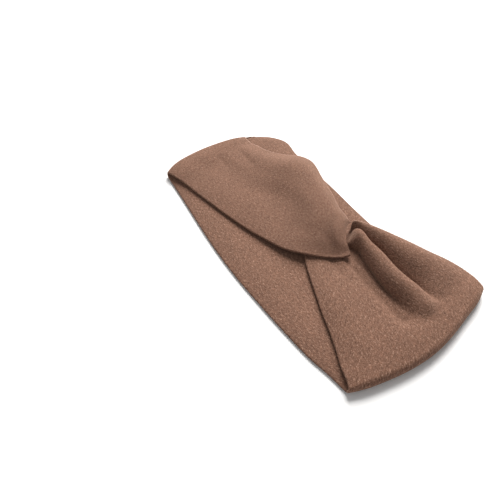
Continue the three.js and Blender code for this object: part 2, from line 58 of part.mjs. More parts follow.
  ["L5", [[0, -103.86, -49.4, 1.5], [0.06, -105.88, -44.32, 1.5], [0.12, -107.61, -39.13, 1.5], [0.2, -109, -31.97, 1.5], [0.35, -110.17, -18.34, 1.5], [0.5, -110.03, -4.65, 1.5], [0.65, -109.1, 9, 1.5], [0.8, -107.61, 22.61, 1.5], [0.88, -106.58, 29.84, 1.5], [0.94, -105.61, 35.22, 1.51], [1, -104.55, 40.6, 1.51]]],
  ["L6", [[0, -96.26, -50.22, 1.5], [0.06, -97.91, -44.51, 1.5], [0.12, -99.45, -38.78, 1.5], [0.2, -100.69, -30.96, 1.5], [0.35, -101.92, -16.16, 1.5], [0.5, -102.06, -1.3, 1.5], [0.65, -101.31, 13.53, 1.5], [0.8, -99.72, 28.3, 1.5], [0.88, -98.53, 36.13, 1.5], [0.94, -97.35, 41.95, 1.5], [1, -95.94, 47.72, 1.5]]],
  // back
  ["Km50", [[0, -47.1, -56.34, 1.5], [0.06, -47.1, -50.19, 1.5], [0.12, -47.1, -44.04, 1.5], [0.2, -47.1, -35.84, 1.5], [0.35, -47.1, -20.47, 1.5], [0.5, -47.1, -5.11, 1.5], [0.65, -47.1, 10.26, 1.5], [0.8, -47.1, 25.63, 1.5], [0.88, -47.1, 33.83, 1.5], [0.94, -47.1, 39.98, 1.5], [1, -47.1, 46.12, 1.5]]],
  ["K0", [[0, 3.01, -60.57, 1.5], [0.06, 3.01, -54.35, 1.5], [0.12, 3.01, -48.13, 1.5], [0.2, 3.01, -39.83, 1.5], [0.35, 3.01, -24.29, 1.5], [0.5, 3.01, -8.74, 1.5], [0.65, 3.01, 6.81, 1.5], [0.8, 3.01, 22.36, 1.5], [0.88, 3.01, 30.65, 1.5], [0.94, 3.01, 36.87, 1.5], [1, 3.01, 43.09, 1.5]]],
  ["K50", [[0, 52.44, -60.33, 1.5], [0.06, 52.43, -53.95, 1.5], [0.12, 52.43, -47.57, 1.5], [0.2, 52.43, -39.06, 1.5], [0.35, 52.42, -23.11, 1.5], [0.5, 52.42, -7.16, 1.5], [0.65, 52.43, 8.79, 1.5], [0.8, 52.43, 24.74, 1.5], [0.88, 52.44, 33.25, 1.5], [0.94, 52.44, 39.63, 1.5], [1, 52.44, 46.01, 1.5]]],
  // right end fold, from the floor to its top
  ["R6", [[0, 92.53, -56.89, 1.49], [0.06, 94.67, -50.2, 1.48], [0.12, 96.55, -43.44, 1.48], [0.2, 98.58, -34.3, 1.48], [0.35, 101.27, -16.97, 1.48], [0.5, 101.79, 0.56, 1.48], [0.65, 99.07, 17.89, 1.48], [0.8, 95.03, 34.96, 1.48], [0.88, 92.7, 44.03, 1.48], [0.94, 90.68, 50.75, 1.48], [1, 88.42, 57.4, 1.48]]],
  ["R5", [[0, 102.38, -56.08, 1.52], [0.06, 104.26, -49.32, 1.52], [0.12, 105.9, -42.51, 1.52], [0.2, 107.71, -33.33, 1.52], [0.35, 110.33, -16, 1.52], [0.5, 110.62, 1.51, 1.52], [0.65, 107.87, 18.82, 1.52], [0.8, 103.65, 35.84, 1.52], [0.88, 101.43, 44.92, 1.52], [0.94, 99.49, 51.66, 1.52], [1, 97.28, 58.32, 1.52]]],
  ["R45", [[0, 103.78, -55.98, 1.66], [0.06, 105.75, -49.24, 1.69], [0.12, 107.45, -42.43, 1.71], [0.2, 109.32, -33.26, 1.73], [0.35, 111.94, -15.91, 1.73], [0.5, 112.2, 1.63, 1.73], [0.65, 109.45, 18.95, 1.73], [0.8, 105.2, 35.98, 1.73], [0.88, 102.99, 45.08, 1.72], [0.94, 100.99, 51.81, 1.71], [1, 98.68, 58.44, 1.68]]],
  ["R4", [[0, 104.89, -55.92, 2.07], [0.06, 106.95, -49.2, 2.16], [0.12, 108.73, -42.39, 2.23], [0.2, 110.67, -33.21, 2.3], [0.35, 113.29, -15.83, 2.3], [0.5, 113.52, 1.73, 2.3], [0.65, 110.77, 19.09, 2.3], [0.8, 106.49, 36.15, 2.3], [0.88, 104.28, 45.26, 2.3], [0.94, 102.22, 51.99, 2.25], [1, 99.79, 58.59, 2.15]]],
  ["R34", [[0, 105.45, -55.9, 2.95], [0.06, 107.6, -49.19, 3.2], [0.12, 109.43, -42.38, 3.38], [0.2, 111.43, -33.19, 3.55], [0.35, 114.05, -15.76, 3.55], [0.5, 114.26, 1.85, 3.55], [0.65, 111.5, 19.26, 3.55], [0.8, 107.18, 36.36, 3.55], [0.88, 104.98, 45.5, 3.54], [0.94, 102.86, 52.22, 3.41], [1, 100.32, 58.8, 3.17]]],
  ["R3", [[0, 105.54, -55.83, 3.46], [0.06, 107.69, -49.12, 3.8], [0.12, 109.53, -42.3, 4.05], [0.2, 111.53, -33.11, 4.28], [0.35, 114.15, -15.66, 4.29], [0.5, 114.33, 1.97, 4.29], [0.65, 111.57, 19.4, 4.29], [0.8, 107.22, 36.5, 4.29], [0.88, 105.03, 45.66, 4.26], [0.94, 102.9, 52.38, 4.08], [1, 100.32, 58.95, 3.77]]],
  ["R23", [[0, 105.51, -55.68, 3.96], [0.06, 107.64, -48.96, 4.39], [0.12, 109.45, -42.14, 4.7], [0.2, 111.44, -32.94, 5], [0.35, 114.05, -15.48, 5], [0.5, 114.18, 2.16, 5], [0.65, 111.41, 19.59, 5], [0.8, 107.03, 36.7, 5], [0.88, 104.86, 45.86, 4.97], [0.94, 102.72, 52.58, 4.75], [1, 100.13, 59.14, 4.35]]],
  ["R2", [[0, 105.09, -55.22, 4.79], [0.06, 107.14, -48.49, 5.36], [0.12, 108.87, -41.66, 5.77], [0.2, 110.78, -32.45, 6.16], [0.35, 113.34, -15.01, 6.17], [0.5, 113.36, 2.62, 6.17], [0.65, 110.59, 20.04, 6.17], [0.8, 106.14, 37.11, 6.17], [0.88, 104.02, 46.27, 6.13], [0.94, 101.9, 52.99, 5.83], [1, 99.3, 59.53, 5.31]]],
  ["R12", [[0, 103.69, -54.41, 5.31], [0.06, 105.56, -47.67, 5.96], [0.12, 107.16, -40.85, 6.42], [0.2, 108.93, -31.66, 6.86], [0.35, 111.41, -14.29, 6.86], [0.5, 111.26, 3.25, 6.86], [0.65, 108.51, 20.58, 6.86], [0.8, 103.99, 37.55, 6.86], [0.88, 101.92, 46.68, 6.82], [0.94, 99.86, 53.38, 6.49], [1, 97.33, 59.91, 5.9]]],
  ["R1", [[0, 102.5, -53.82, 5.43], [0.06, 104.26, -47.09, 6.09], [0.12, 105.78, -40.28, 6.56], [0.2, 107.47, -31.12, 7.02], [0.35, 109.9, -13.82, 7.02], [0.5, 109.64, 3.65, 7.02], [0.65, 106.9, 20.9, 7.02], [0.8, 102.35, 37.79, 7.02], [0.88, 100.32, 46.89, 6.97], [0.94, 98.29, 53.56, 6.63], [1, 95.8, 60.07, 6.02]]],
  ["R0", [[0, 94.97, -50.32, 5.32], [0.03, 95.9, -47.08, 5.85], [0.06, 96.76, -43.81, 6.33], [0.14, 98.76, -34.99, 7.32], [0.24, 100.74, -23.81, 7.89], [0.34, 102.12, -12.52, 7.78], [0.42, 102.14, -3.43, 7.75], [0.48, 101.68, 3.37, 7.75], [0.53, 101.1, 9.02, 7.8], [0.57, 100.5, 13.52, 7.83], [0.61, 99.74, 18, 7.83], [0.65, 98.79, 22.44, 7.81], [0.69, 97.62, 26.83, 7.79], [0.73, 96.31, 31.18, 7.83], [0.78, 94.68, 36.63, 7.84], [0.83, 93.34, 42.15, 7.82], [0.88, 92.1, 47.69, 7.74], [0.94, 89.94, 54.12, 7.1], [0.97, 88.59, 57.2, 6.56], [1, 87.22, 60.28, 6]]],
  // right front panel, from the right end to the knot
  ["B1", [[0, 87.2, -47.03, 5.47], [0.03, 87.86, -43.87, 5.97], [0.06, 88.49, -40.68, 6.49], [0.14, 90.06, -32.09, 7.34], [0.24, 91.82, -21.26, 7.84], [0.34, 93.3, -10.38, 7.66], [0.42, 93.99, -1.76, 6.61], [0.48, 94.39, 4.72, 6.81], [0.53, 94.7, 9.82, 8.28], [0.57, 95, 13.93, 9.23], [0.61, 94.52, 18.18, 9.4], [0.65, 92.93, 22.06, 8.69], [0.69, 91.39, 25.81, 7.54], [0.73, 89.69, 29.75, 8.22], [0.78, 87.56, 34.71, 8.91], [0.83, 85.54, 39.73, 9.47], [0.88, 83.54, 44.78, 9.74], [0.94, 80.84, 50.75, 9.45], [0.97, 79.39, 53.66, 8.98], [1, 77.94, 56.56, 8.38]]],
  ["B2", [[0, 78.05, -43.14, 5.45], [0.03, 78.54, -40.09, 5.98], [0.06, 79.04, -37.01, 6.51], [0.14, 80.38, -28.72, 7.2], [0.24, 82.05, -18.32, 7.62], [0.34, 83.73, -7.93, 7.35], [0.42, 84.97, 0.16, 5.6], [0.48, 85.99, 5.94, 6.37], [0.53, 86.89, 10.13, 9.01], [0.57, 87.64, 13.7, 10.65], [0.61, 87.65, 17.49, 10.97], [0.65, 86.28, 20.89, 9.86], [0.69, 84.69, 23.83, 8.03], [0.73, 82.91, 27.02, 7.9], [0.78, 80.52, 31.29, 9.32], [0.83, 78.07, 35.71, 10.72], [0.88, 75.55, 40.21, 11.66], [0.94, 72.48, 45.69, 11.95], [0.97, 70.95, 48.42, 11.65], [1, 69.42, 51.13, 11.12]]],
  ["B3", [[0, 68.27, -39.02, 5.35], [0.03, 68.83, -36.07, 5.87], [0.06, 69.4, -33.1, 6.43], [0.14, 70.94, -25.07, 7.14], [0.24, 72.87, -15.01, 7.55], [0.34, 74.8, -4.95, 7.11], [0.42, 76.26, 2.69, 5.38], [0.48, 77.32, 7.39, 7], [0.53, 78.25, 10.53, 10.28], [0.57, 79.17, 13.6, 12.18], [0.61, 79.48, 17.02, 12.47], [0.65, 78.58, 19.99, 11.02], [0.69, 77.25, 22.28, 8.66], [0.73, 75.73, 24.66, 7.6], [0.78, 73.44, 28.25, 9.05], [0.83, 70.96, 32.13, 11.19], [0.88, 68.37, 36.18, 12.86], [0.94, 65.12, 41.24, 13.72], [0.97, 63.49, 43.8, 13.53], [1, 61.86, 46.33, 13.05]]],
  ["B4", [[0, 57.63, -34.97, 5.3], [0.03, 58.39, -32.13, 5.78], [0.06, 59.15, -29.26, 6.3], [0.14, 61.21, -21.52, 6.95], [0.24, 63.79, -11.82, 7.29], [0.34, 66.35, -2.16, 6.55], [0.42, 68.27, 5.02, 5.37], [0.48, 69.25, 8.33, 8.21], [0.53, 70.13, 10.64, 11.9], [0.57, 71.1, 13.48, 13.66], [0.61, 71.35, 16.62, 13.57], [0.65, 70.46, 19.08, 11.6], [0.69, 69.32, 20.76, 8.8], [0.73, 67.98, 22.61, 7.42], [0.78, 65.75, 25.67, 8.95], [0.83, 63.28, 29.06, 11.54], [0.88, 60.65, 32.67, 13.71], [0.94, 57.27, 37.31, 15.05], [0.97, 55.54, 39.69, 15.02], [1, 53.81, 42.06, 14.61]]],
  ["B5", [[0, 48.69, -31.03, 5.3], [0.03, 49.64, -28.36, 5.7], [0.06, 50.59, -25.68, 6.12], [0.14, 53.14, -18.44, 6.67], [0.24, 56.35, -9.38, 6.95], [0.34, 59.53, -0.37, 6.19], [0.42, 61.89, 6.32, 5.42], [0.48, 62.8, 8.93, 8.66], [0.53, 63.41, 10.83, 12.45], [0.57, 64.11, 13.47, 14.26], [0.61, 64.12, 16.43, 14.2], [0.65, 63.15, 18.67, 12.22], [0.69, 62.08, 20.09, 9.31], [0.73, 60.92, 21.55, 7.5], [0.78, 58.88, 24.11, 8.66], [0.83, 56.54, 27.04, 11.44], [0.88, 54.02, 30.2, 13.94], [0.94, 50.68, 34.38, 15.71], [0.97, 48.94, 36.56, 15.83], [1, 47.18, 38.75, 15.52]]],
  ["B6", [[0, 39.95, -27.25, 5.3], [0.03, 41.07, -24.78, 5.59], [0.06, 42.18, -22.29, 5.87], [0.14, 45.17, -15.62, 6.28], [0.24, 48.92, -7.28, 6.49], [0.34, 52.66, 1.03, 5.9], [0.42, 55.46, 7.25, 5.37], [0.48, 56.4, 9.67, 8.42], [0.53, 56.63, 11.21, 12.23], [0.57, 56.83, 13.53, 14.37], [0.61, 56.57, 16.39, 14.78], [0.65, 55.53, 18.7, 13.28], [0.69, 54.43, 20.1, 10.52], [0.73, 53.45, 21.21, 8.06], [0.78, 51.76, 23.14, 8.05], [0.83, 49.66, 25.55, 10.69], [0.88, 47.35, 28.18, 13.55], [0.94, 44.19, 31.78, 15.86], [0.97, 42.48, 33.74, 16.22], [1, 40.73, 35.73, 16.11]]],
  ["B7", [[0, 33.3, -24.38, 5.3], [0.03, 34.51, -22.07, 5.49], [0.06, 35.72, -19.75, 5.67], [0.14, 38.97, -13.53, 5.93], [0.24, 43.03, -5.76, 6.07], [0.34, 47.09, 1.98, 5.69], [0.42, 50.18, 7.84, 5.29], [0.48, 51.22, 10.33, 7.97], [0.53, 51.19, 11.65, 11.72], [0.57, 51.01, 13.64, 14.12], [0.61, 50.51, 16.34, 15.06], [0.65, 49.39, 18.76, 14.13], [0.69, 48.16, 20.27, 11.72], [0.73, 47.24, 21.23, 8.95], [0.78, 45.86, 22.67, 7.69], [0.83, 43.98, 24.63, 9.84], [0.88, 41.87, 26.83, 12.86], [0.94, 38.9, 29.91, 15.61], [0.97, 37.22, 31.65, 16.22], [1, 35.48, 33.45, 16.35]]],
  ["B8", [[0, 27.91, -21.86, 5.3], [0.03, 29.16, -19.7, 5.42], [0.06, 30.42, -17.53, 5.53], [0.14, 33.79, -11.73, 5.68], [0.24, 38, -4.48, 5.76], [0.34, 42.21, 2.75, 5.52], [0.42, 45.47, 8.26, 5.22], [0.48, 46.54, 10.84, 7.56], [0.53, 46.38, 12.09, 11.15], [0.57, 45.98, 13.76, 13.7], [0.61, 45.27, 16.19, 15.01], [0.65, 44.05, 18.58, 14.59], [0.69, 42.69, 20.18, 12.59], [0.73, 41.71, 21.12, 9.86], [0.78, 40.5, 22.25, 7.79], [0.83, 38.79, 23.86, 9.22], [0.88, 36.81, 25.71, 12.19], [0.94, 34, 28.34, 15.19], [0.97, 32.38, 29.86, 16.01], [1, 30.66, 31.47, 16.37]]],
  ["B9", [[0, 22.95, -19.35, 5.3], [0.03, 24.22, -17.34, 5.37], [0.06, 25.48, -15.32, 5.42], [0.14, 28.86, -9.94, 5.49], [0.24, 33.08, -3.21, 5.53], [0.34, 37.31, 3.5, 5.4], [0.42, 40.68, 8.72, 5.15], [0.48, 41.82, 11.46, 7.03], [0.53, 41.55, 12.69, 10.36], [0.57, 40.99, 14.02, 12.98], [0.61, 40.12, 16.04, 14.68], [0.65, 38.8, 18.3, 14.91], [0.69, 37.27, 20.03, 13.59], [0.73, 36.06, 21.06, 11.23], [0.78, 34.87, 21.98, 8.59], [0.83, 33.38, 23.19, 8.84], [0.88, 31.58, 24.66, 11.4], [0.94, 29.02, 26.77, 14.6], [0.97, 27.49, 28.02, 15.67], [1, 25.82, 29.37, 16.33]]],
  ["B10", [[0, 19.18, -17.14, 5.3], [0.03, 20.45, -15.23, 5.33], [0.06, 21.71, -13.32, 5.36], [0.14, 25.03, -8.2, 5.38], [0.24, 29.17, -1.8, 5.39], [0.34, 33.31, 4.6, 5.33], [0.42, 36.58, 9.36, 5.1], [0.48, 37.81, 12.13, 6.47], [0.53, 37.49, 13.39, 9.41], [0.57, 36.81, 14.44, 12.01], [0.61, 35.85, 16.04, 14.03], [0.65, 34.5, 18.09, 14.94], [0.69, 32.86, 19.93, 14.49], [0.73, 31.32, 21.16, 12.84], [0.78, 29.9, 22.04, 10.12], [0.83, 28.6, 22.88, 8.96], [0.88, 27.07, 23.92, 10.61], [0.94, 24.87, 25.44, 13.91], [0.97, 23.5, 26.38, 15.25], [1, 21.97, 27.42, 16.28]]],
  ["B11", [[0, 16.32, -15.39, 5.3], [0.03, 17.53, -13.59, 5.31], [0.06, 18.74, -11.78, 5.32], [0.14, 21.9, -6.93, 5.32], [0.24, 25.84, -0.85, 5.31], [0.34, 29.78, 5.22, 5.28], [0.42, 32.84, 9.35, 5.08], [0.48, 34.21, 12.01, 5.95], [0.53, 34.08, 13.44, 8.29], [0.57, 33.46, 14.43, 10.66], [0.61, 32.57, 15.77, 12.76], [0.65, 31.36, 17.55, 14.11], [0.69, 29.82, 19.41, 14.39], [0.73, 28.16, 20.84, 13.53], [0.78, 26.43, 21.89, 11.31], [0.83, 25.13, 22.58, 9.37], [0.88, 23.81, 23.33, 9.88], [0.94, 21.94, 24.41, 12.91], [0.97, 20.76, 25.08, 14.38], [1, 19.41, 25.85, 15.63]]],
  ["B12", [[0, 14.07, -14.34, 5.3], [0.03, 15.07, -12.72, 5.3], [0.06, 16.07, -11.1, 5.3], [0.14, 18.79, -6.8, 5.29], [0.24, 22.21, -1.44, 5.28], [0.34, 25.64, 3.91, 5.27], [0.42, 28.52, 7.71, 5.11], [0.48, 30.17, 10.38, 5.48], [0.53, 30.52, 12.14, 6.93], [0.57, 30.24, 13.3, 8.73], [0.61, 29.7, 14.58, 10.57], [0.65, 28.89, 16.16, 12.02], [0.69, 27.76, 17.93, 12.77], [0.73, 26.34, 19.51, 12.65], [0.78, 24.53, 20.88, 11.34], [0.83, 23.11, 21.74, 9.48], [0.88, 21.86, 22.48, 9.05], [0.94, 20.17, 23.43, 11.29], [0.97, 19.14, 23.99, 12.62], [1, 17.97, 24.62, 13.79]]],
  ["B13", [[0, 12.74, -14.1, 5.3], [0.03, 13.47, -12.7, 5.3], [0.06, 14.21, -11.31, 5.29], [0.14, 16.32, -7.67, 5.29], [0.24, 19.07, -3.18, 5.28], [0.34, 21.84, 1.3, 5.28], [0.42, 24.24, 5.03, 5.2], [0.48, 25.93, 7.7, 5.26], [0.53, 26.74, 9.65, 5.86], [0.57, 26.97, 11.07, 6.86], [0.61, 26.97, 12.47, 8.08], [0.65, 26.79, 13.98, 9.22], [0.69, 26.32, 15.62, 10.02], [0.73, 25.44, 17.26, 10.32], [0.78, 23.94, 18.94, 9.9], [0.83, 22.48, 20.17, 8.76], [0.88, 21.18, 21.2, 8.05], [0.94, 19.49, 22.41, 9.26], [0.97, 18.54, 23.04, 10.14], [1, 17.5, 23.73, 10.94]]],
  ["B14", [[0, 11.1, -13.89, 5.3], [0.03, 11.64, -12.66, 5.3], [0.06, 12.19, -11.44, 5.3], [0.14, 13.83, -8.26, 5.3], [0.24, 16.08, -4.39, 5.3], [0.34, 18.36, -0.54, 5.3], [0.42, 20.36, 2.9, 5.27], [0.48, 21.9, 5.37, 5.25], [0.53, 22.91, 7.28, 5.41], [0.57, 23.49, 8.8, 5.77], [0.61, 23.95, 10.28, 6.29], [0.65, 24.35, 11.76, 6.88], [0.69, 24.49, 13.3, 7.39], [0.73, 24.14, 14.9, 7.73], [0.78, 23.08, 16.72, 7.79], [0.83, 21.73, 18.24, 7.4], [0.88, 20.39, 19.6, 6.95], [0.94, 18.67, 21.15, 7.33], [0.97, 17.76, 21.92, 7.71], [1, 16.83, 22.73, 8.04]]],
  ["B15", [[0, 8.78, -13.25, 5.32], [0.03, 9.28, -12.12, 5.32], [0.06, 9.79, -10.98, 5.32], [0.14, 11.29, -8.03, 5.32], [0.24, 13.38, -4.46, 5.32], [0.34, 15.56, -0.95, 5.32], [0.42, 17.64, 2.06, 5.31], [0.48, 19.15, 4.27, 5.3], [0.53, 20.18, 6.09, 5.33], [0.57, 20.88, 7.56, 5.44], [0.61, 21.55, 9.02, 5.62], [0.65, 22.21, 10.44, 5.85], [0.69, 22.62, 11.92, 6.1], [0.73, 22.49, 13.46, 6.31], [0.78, 21.64, 15.26, 6.45], [0.83, 20.38, 16.84, 6.39], [0.88, 19.04, 18.32, 6.21], [0.94, 17.35, 19.99, 6.26], [0.97, 16.47, 20.82, 6.36], [1, 15.61, 21.68, 6.46]]],
  ["B16", [[0, 5.96, -12.31, 5.35], [0.03, 6.48, -11.26, 5.35], [0.06, 7, -10.22, 5.35], [0.14, 8.52, -7.49, 5.35], [0.24, 10.59, -4.19, 5.35], [0.34, 12.8, -0.99, 5.35], [0.42, 15.38, 1.67, 5.34], [0.48, 17.05, 3.71, 5.33], [0.53, 18.07, 5.43, 5.34], [0.57, 18.81, 6.84, 5.35], [0.61, 19.56, 8.23, 5.38], [0.65, 20.33, 9.59, 5.43], [0.69, 20.83, 11.01, 5.51], [0.73, 20.77, 12.49, 5.6], [0.78, 19.96, 14.23, 5.7], [0.83, 18.75, 15.78, 5.74], [0.88, 17.43, 17.25, 5.71], [0.94, 15.76, 18.93, 5.65], [0.97, 14.93, 19.77, 5.64], [1, 14.12, 20.63, 5.64]]],
];

// ---- cubic interpolation with given tangent rule
function tangents(xs, P) {
  const n = xs.length, k = P[0].length, m = [];
  const slope = (i, c) => (P[i + 1][c] - P[i][c]) / (xs[i + 1] - xs[i]);
  for (let i = 0; i < n; i++) {
    const row = [];
    for (let c = 0; c < k; c++) {
      if (i === 0) row.push(slope(0, c));
      else if (i === n - 1) row.push(slope(n - 2, c));
      else {
        const a = xs[i] - xs[i - 1], b = xs[i + 1] - xs[i];
        row.push((slope(i - 1, c) * b + slope(i, c) * a) / (a + b));
      }
    }
    m.push(row);
  }
  return m;
}
function curve(xs, P) {
  const m = tangents(xs, P), n = xs.length;
  return (x) => {
    let i = 0;
    while (i < n - 2 && x >= xs[i + 1]) i++;
    const h = xs[i + 1] - xs[i], t = (x - xs[i]) / h, t2 = t * t, t3 = t2 * t;
    return P[i].map((p, c) =>
      (2 * t3 - 3 * t2 + 1) * p + (t3 - 2 * t2 + t) * h * m[i][c] +
      (-2 * t3 + 3 * t2) * P[i + 1][c] + (t3 - t2) * h * m[i + 1][c]);
  };
}
const acrossAt = STATIONS.map(([, k]) => curve(k.map((p) => p[0]), k.map((p) => p.slice(1))));
// distance round the ring, as the mean over the width
const MEAN = 60;
const at = [0];
for (let i = 1; i < STATIONS.length; i++) {
  let d = 0;
  for (let j = 0; j <= MEAN; j++) {
    const a = acrossAt[i - 1](j / MEAN), b = acrossAt[i](j / MEAN);
    d += Math.hypot(a[0] - b[0], a[1] - b[1], a[2] - b[2]) / (MEAN + 1);
  }
  at.push(at[i - 1] + d);
}
const U = Object.fromEntries(STATIONS.map(([name], i) => [name, at[i]]));
const alongAt = new Map();
function middle(u, v) {
  const key = v.toFixed(6);
  if (!alongAt.has(key)) alongAt.set(key, curve(at, acrossAt.map((f) => f(v))));
  return new THREE.Vector3(...alongAt.get(key)(u));
}
// outward normal of the ring: down on the back, up on the front
function normal(u, v) {
  const e = 0.35, w = 0.004;
  const u0 = Math.max(at[0], u - e), u1 = Math.min(at[at.length - 1], u + e);
  const v0 = Math.max(0, v - w), v1 = Math.min(1, v + w);
  const du = middle(u1, v).sub(middle(u0, v)), dv = middle(u, v1).sub(middle(u, v0));
  return du.cross(dv).normalize().negate();
}

// ---- a closed sheet over samples us x vs, between two offsets from the middle surface
function sheet(name, us, vs, low, high, material) {
  const g = new THREE.BoxGeometry(1, 1, 1, us.length - 1, vs.length - 1, 1);
  g.deleteAttribute("normal");
  g.deleteAttribute("uv");
  const merged = mergeVertices(g, 1e-5);
  const p = merged.getAttribute("position");
  const made = new Map();
  for (let i = 0; i < p.count; i++) {
    const a = Math.round((p.getX(i) + 0.5) * (us.length - 1));
    const b = Math.round((p.getY(i) + 0.5) * (vs.length - 1));
    const key = a + "," + b;
    if (!made.has(key)) made.set(key, [middle(us[a], vs[b]), normal(us[a], vs[b])]);
    const [m, n] = made.get(key);
    const q = m.clone().addScaledVector(n, p.getZ(i) > 0 ? high : low);
    p.setXYZ(i, q.x, q.y, Math.max(q.z, FLOOR));
  }
  // the outward normal is opposite to the u x v direction, so the faces are turned round
  const index = merged.index.array;
  for (let i = 0; i < index.length; i += 3) [index[i + 1], index[i + 2]] = [index[i + 2], index[i + 1]];
  merged.computeVertexNormals();
  const mesh = new THREE.Mesh(merged, material);
  mesh.name = name;
  return mesh;
}
const knit = (hex) => new THREE.MeshStandardMaterial({ color: hex, roughness: 0.95, metalness: 0 });
const outerKnit = knit(0x87664f);
const innerKnit = knit(0x7d5e4a);
const thread = knit(0x6c4f3e);

const half = TUBE / 2, inside = half - LAYER;
const headband = new THREE.Group();
headband.name = "spa_headband";

function tube(prefix, us, vs) {
  headband.add(
    sheet(prefix + "_outer_layer", us, vs, inside, half, outerKnit),
    sheet(prefix + "_inner_layer", us, vs, -half, -inside, innerKnit),
    sheet(prefix + "_seam_lower", us, vs.filter((v) => v <= SEAM_SHARE + 1e-6), -SEAM / 2, SEAM / 2, thread),
    sheet(prefix + "_seam_upper", us, vs.filter((v) => v >= 1 - SEAM_SHARE - 1e-6), -SEAM / 2, SEAM / 2, thread),
  );
}

// every station between two named ones
function stations(first, last) {
  const names = STATIONS.map(([name]) => name);
  return names.slice(names.indexOf(first), names.indexOf(last) + 1).map((name) => U[name]);
}
const shares = (name) => STATIONS.find(([n]) => n === name)[1].map((p) => p[0]);

// ---- back, with both end folds
const backU = stations("L0", "R0");
backU[0] += JOIN_GAP / 2;
backU[backU.length - 1] -= JOIN_GAP / 2;
tube("back", backU, shares("K0"));

// ---- left front panel
const leftU = stations("A26", "L0");
leftU[leftU.length - 1] -= JOIN_GAP / 2;
tube("left_front", leftU, shares("A5"));

// ---- right front panel
const rightU = stations("R0", "B16");
rightU[0] += JOIN_GAP / 2;
tube("right_front", rightU, shares("B5"));

// ---- stitching that holds the two panels' ends together, beyond the end of the right panel
{
  const u0 = U.B16, vs = [0.06, 0.25, 0.45, 0.6, 0.75, 0.94];
  const g = new THREE.BoxGeometry(1, 1, 1, 1, vs.length - 1, 1);
  g.deleteAttribute("normal");
  g.deleteAttribute("uv");
  const bar = mergeVertices(g, 1e-5), p = bar.getAttribute("position");
  for (let i = 0; i < p.count; i++) {
    const v = vs[Math.round((p.getY(i) + 0.5) * (vs.length - 1))];
    const e = middle(u0, v), d = middle(u0, v).sub(middle(u0 - 1, v));
    d.z = 0;
    d.normalize();
    const q = e.addScaledVector(d, p.getX(i) > 0 ? JOIN_GAP + KNOT_SEAM_LENGTH : JOIN_GAP);
    p.setXYZ(i, q.x, q.y, q.z + (p.getZ(i) > 0 ? 0.5 : -0.5) * KNOT_SEAM_HEIGHT);
  }
  const index = bar.index.array;
  for (let i = 0; i < index.length; i += 3) [index[i + 1], index[i + 2]] = [index[i + 2], index[i + 1]];
  bar.computeVertexNormals();
  const mesh = new THREE.Mesh(bar, thread);
  mesh.name = "knot_seam";
  headband.add(mesh);
}

export default headband;
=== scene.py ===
import bpy
import math
import numpy as np
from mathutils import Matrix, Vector


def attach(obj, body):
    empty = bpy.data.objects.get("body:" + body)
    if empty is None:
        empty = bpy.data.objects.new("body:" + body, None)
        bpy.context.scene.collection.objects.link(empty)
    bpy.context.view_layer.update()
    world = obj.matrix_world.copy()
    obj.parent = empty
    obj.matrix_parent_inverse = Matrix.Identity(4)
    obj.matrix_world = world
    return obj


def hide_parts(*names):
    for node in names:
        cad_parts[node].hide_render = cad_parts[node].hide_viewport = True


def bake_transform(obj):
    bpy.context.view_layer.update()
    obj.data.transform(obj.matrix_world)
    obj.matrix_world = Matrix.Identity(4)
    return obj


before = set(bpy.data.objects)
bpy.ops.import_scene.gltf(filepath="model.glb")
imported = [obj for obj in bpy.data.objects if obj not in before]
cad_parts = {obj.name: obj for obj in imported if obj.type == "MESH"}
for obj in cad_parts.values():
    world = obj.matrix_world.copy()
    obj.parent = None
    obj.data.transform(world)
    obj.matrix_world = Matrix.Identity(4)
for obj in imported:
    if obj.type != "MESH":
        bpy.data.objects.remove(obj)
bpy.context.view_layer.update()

# ------------------------------------------------------------------ dimensions, mm
TUBE = 3.0        # flattened tube of two knit layers
HALF = TUBE / 2
LAYER = 1.1       # one layer
THIN = 0.75       # half thickness at a pressed edge
TAPER = 14.0      # how far in from an edge the tube gets its full thickness
Z_BACK = HALF
NC = 121          # samples across while the surface is built

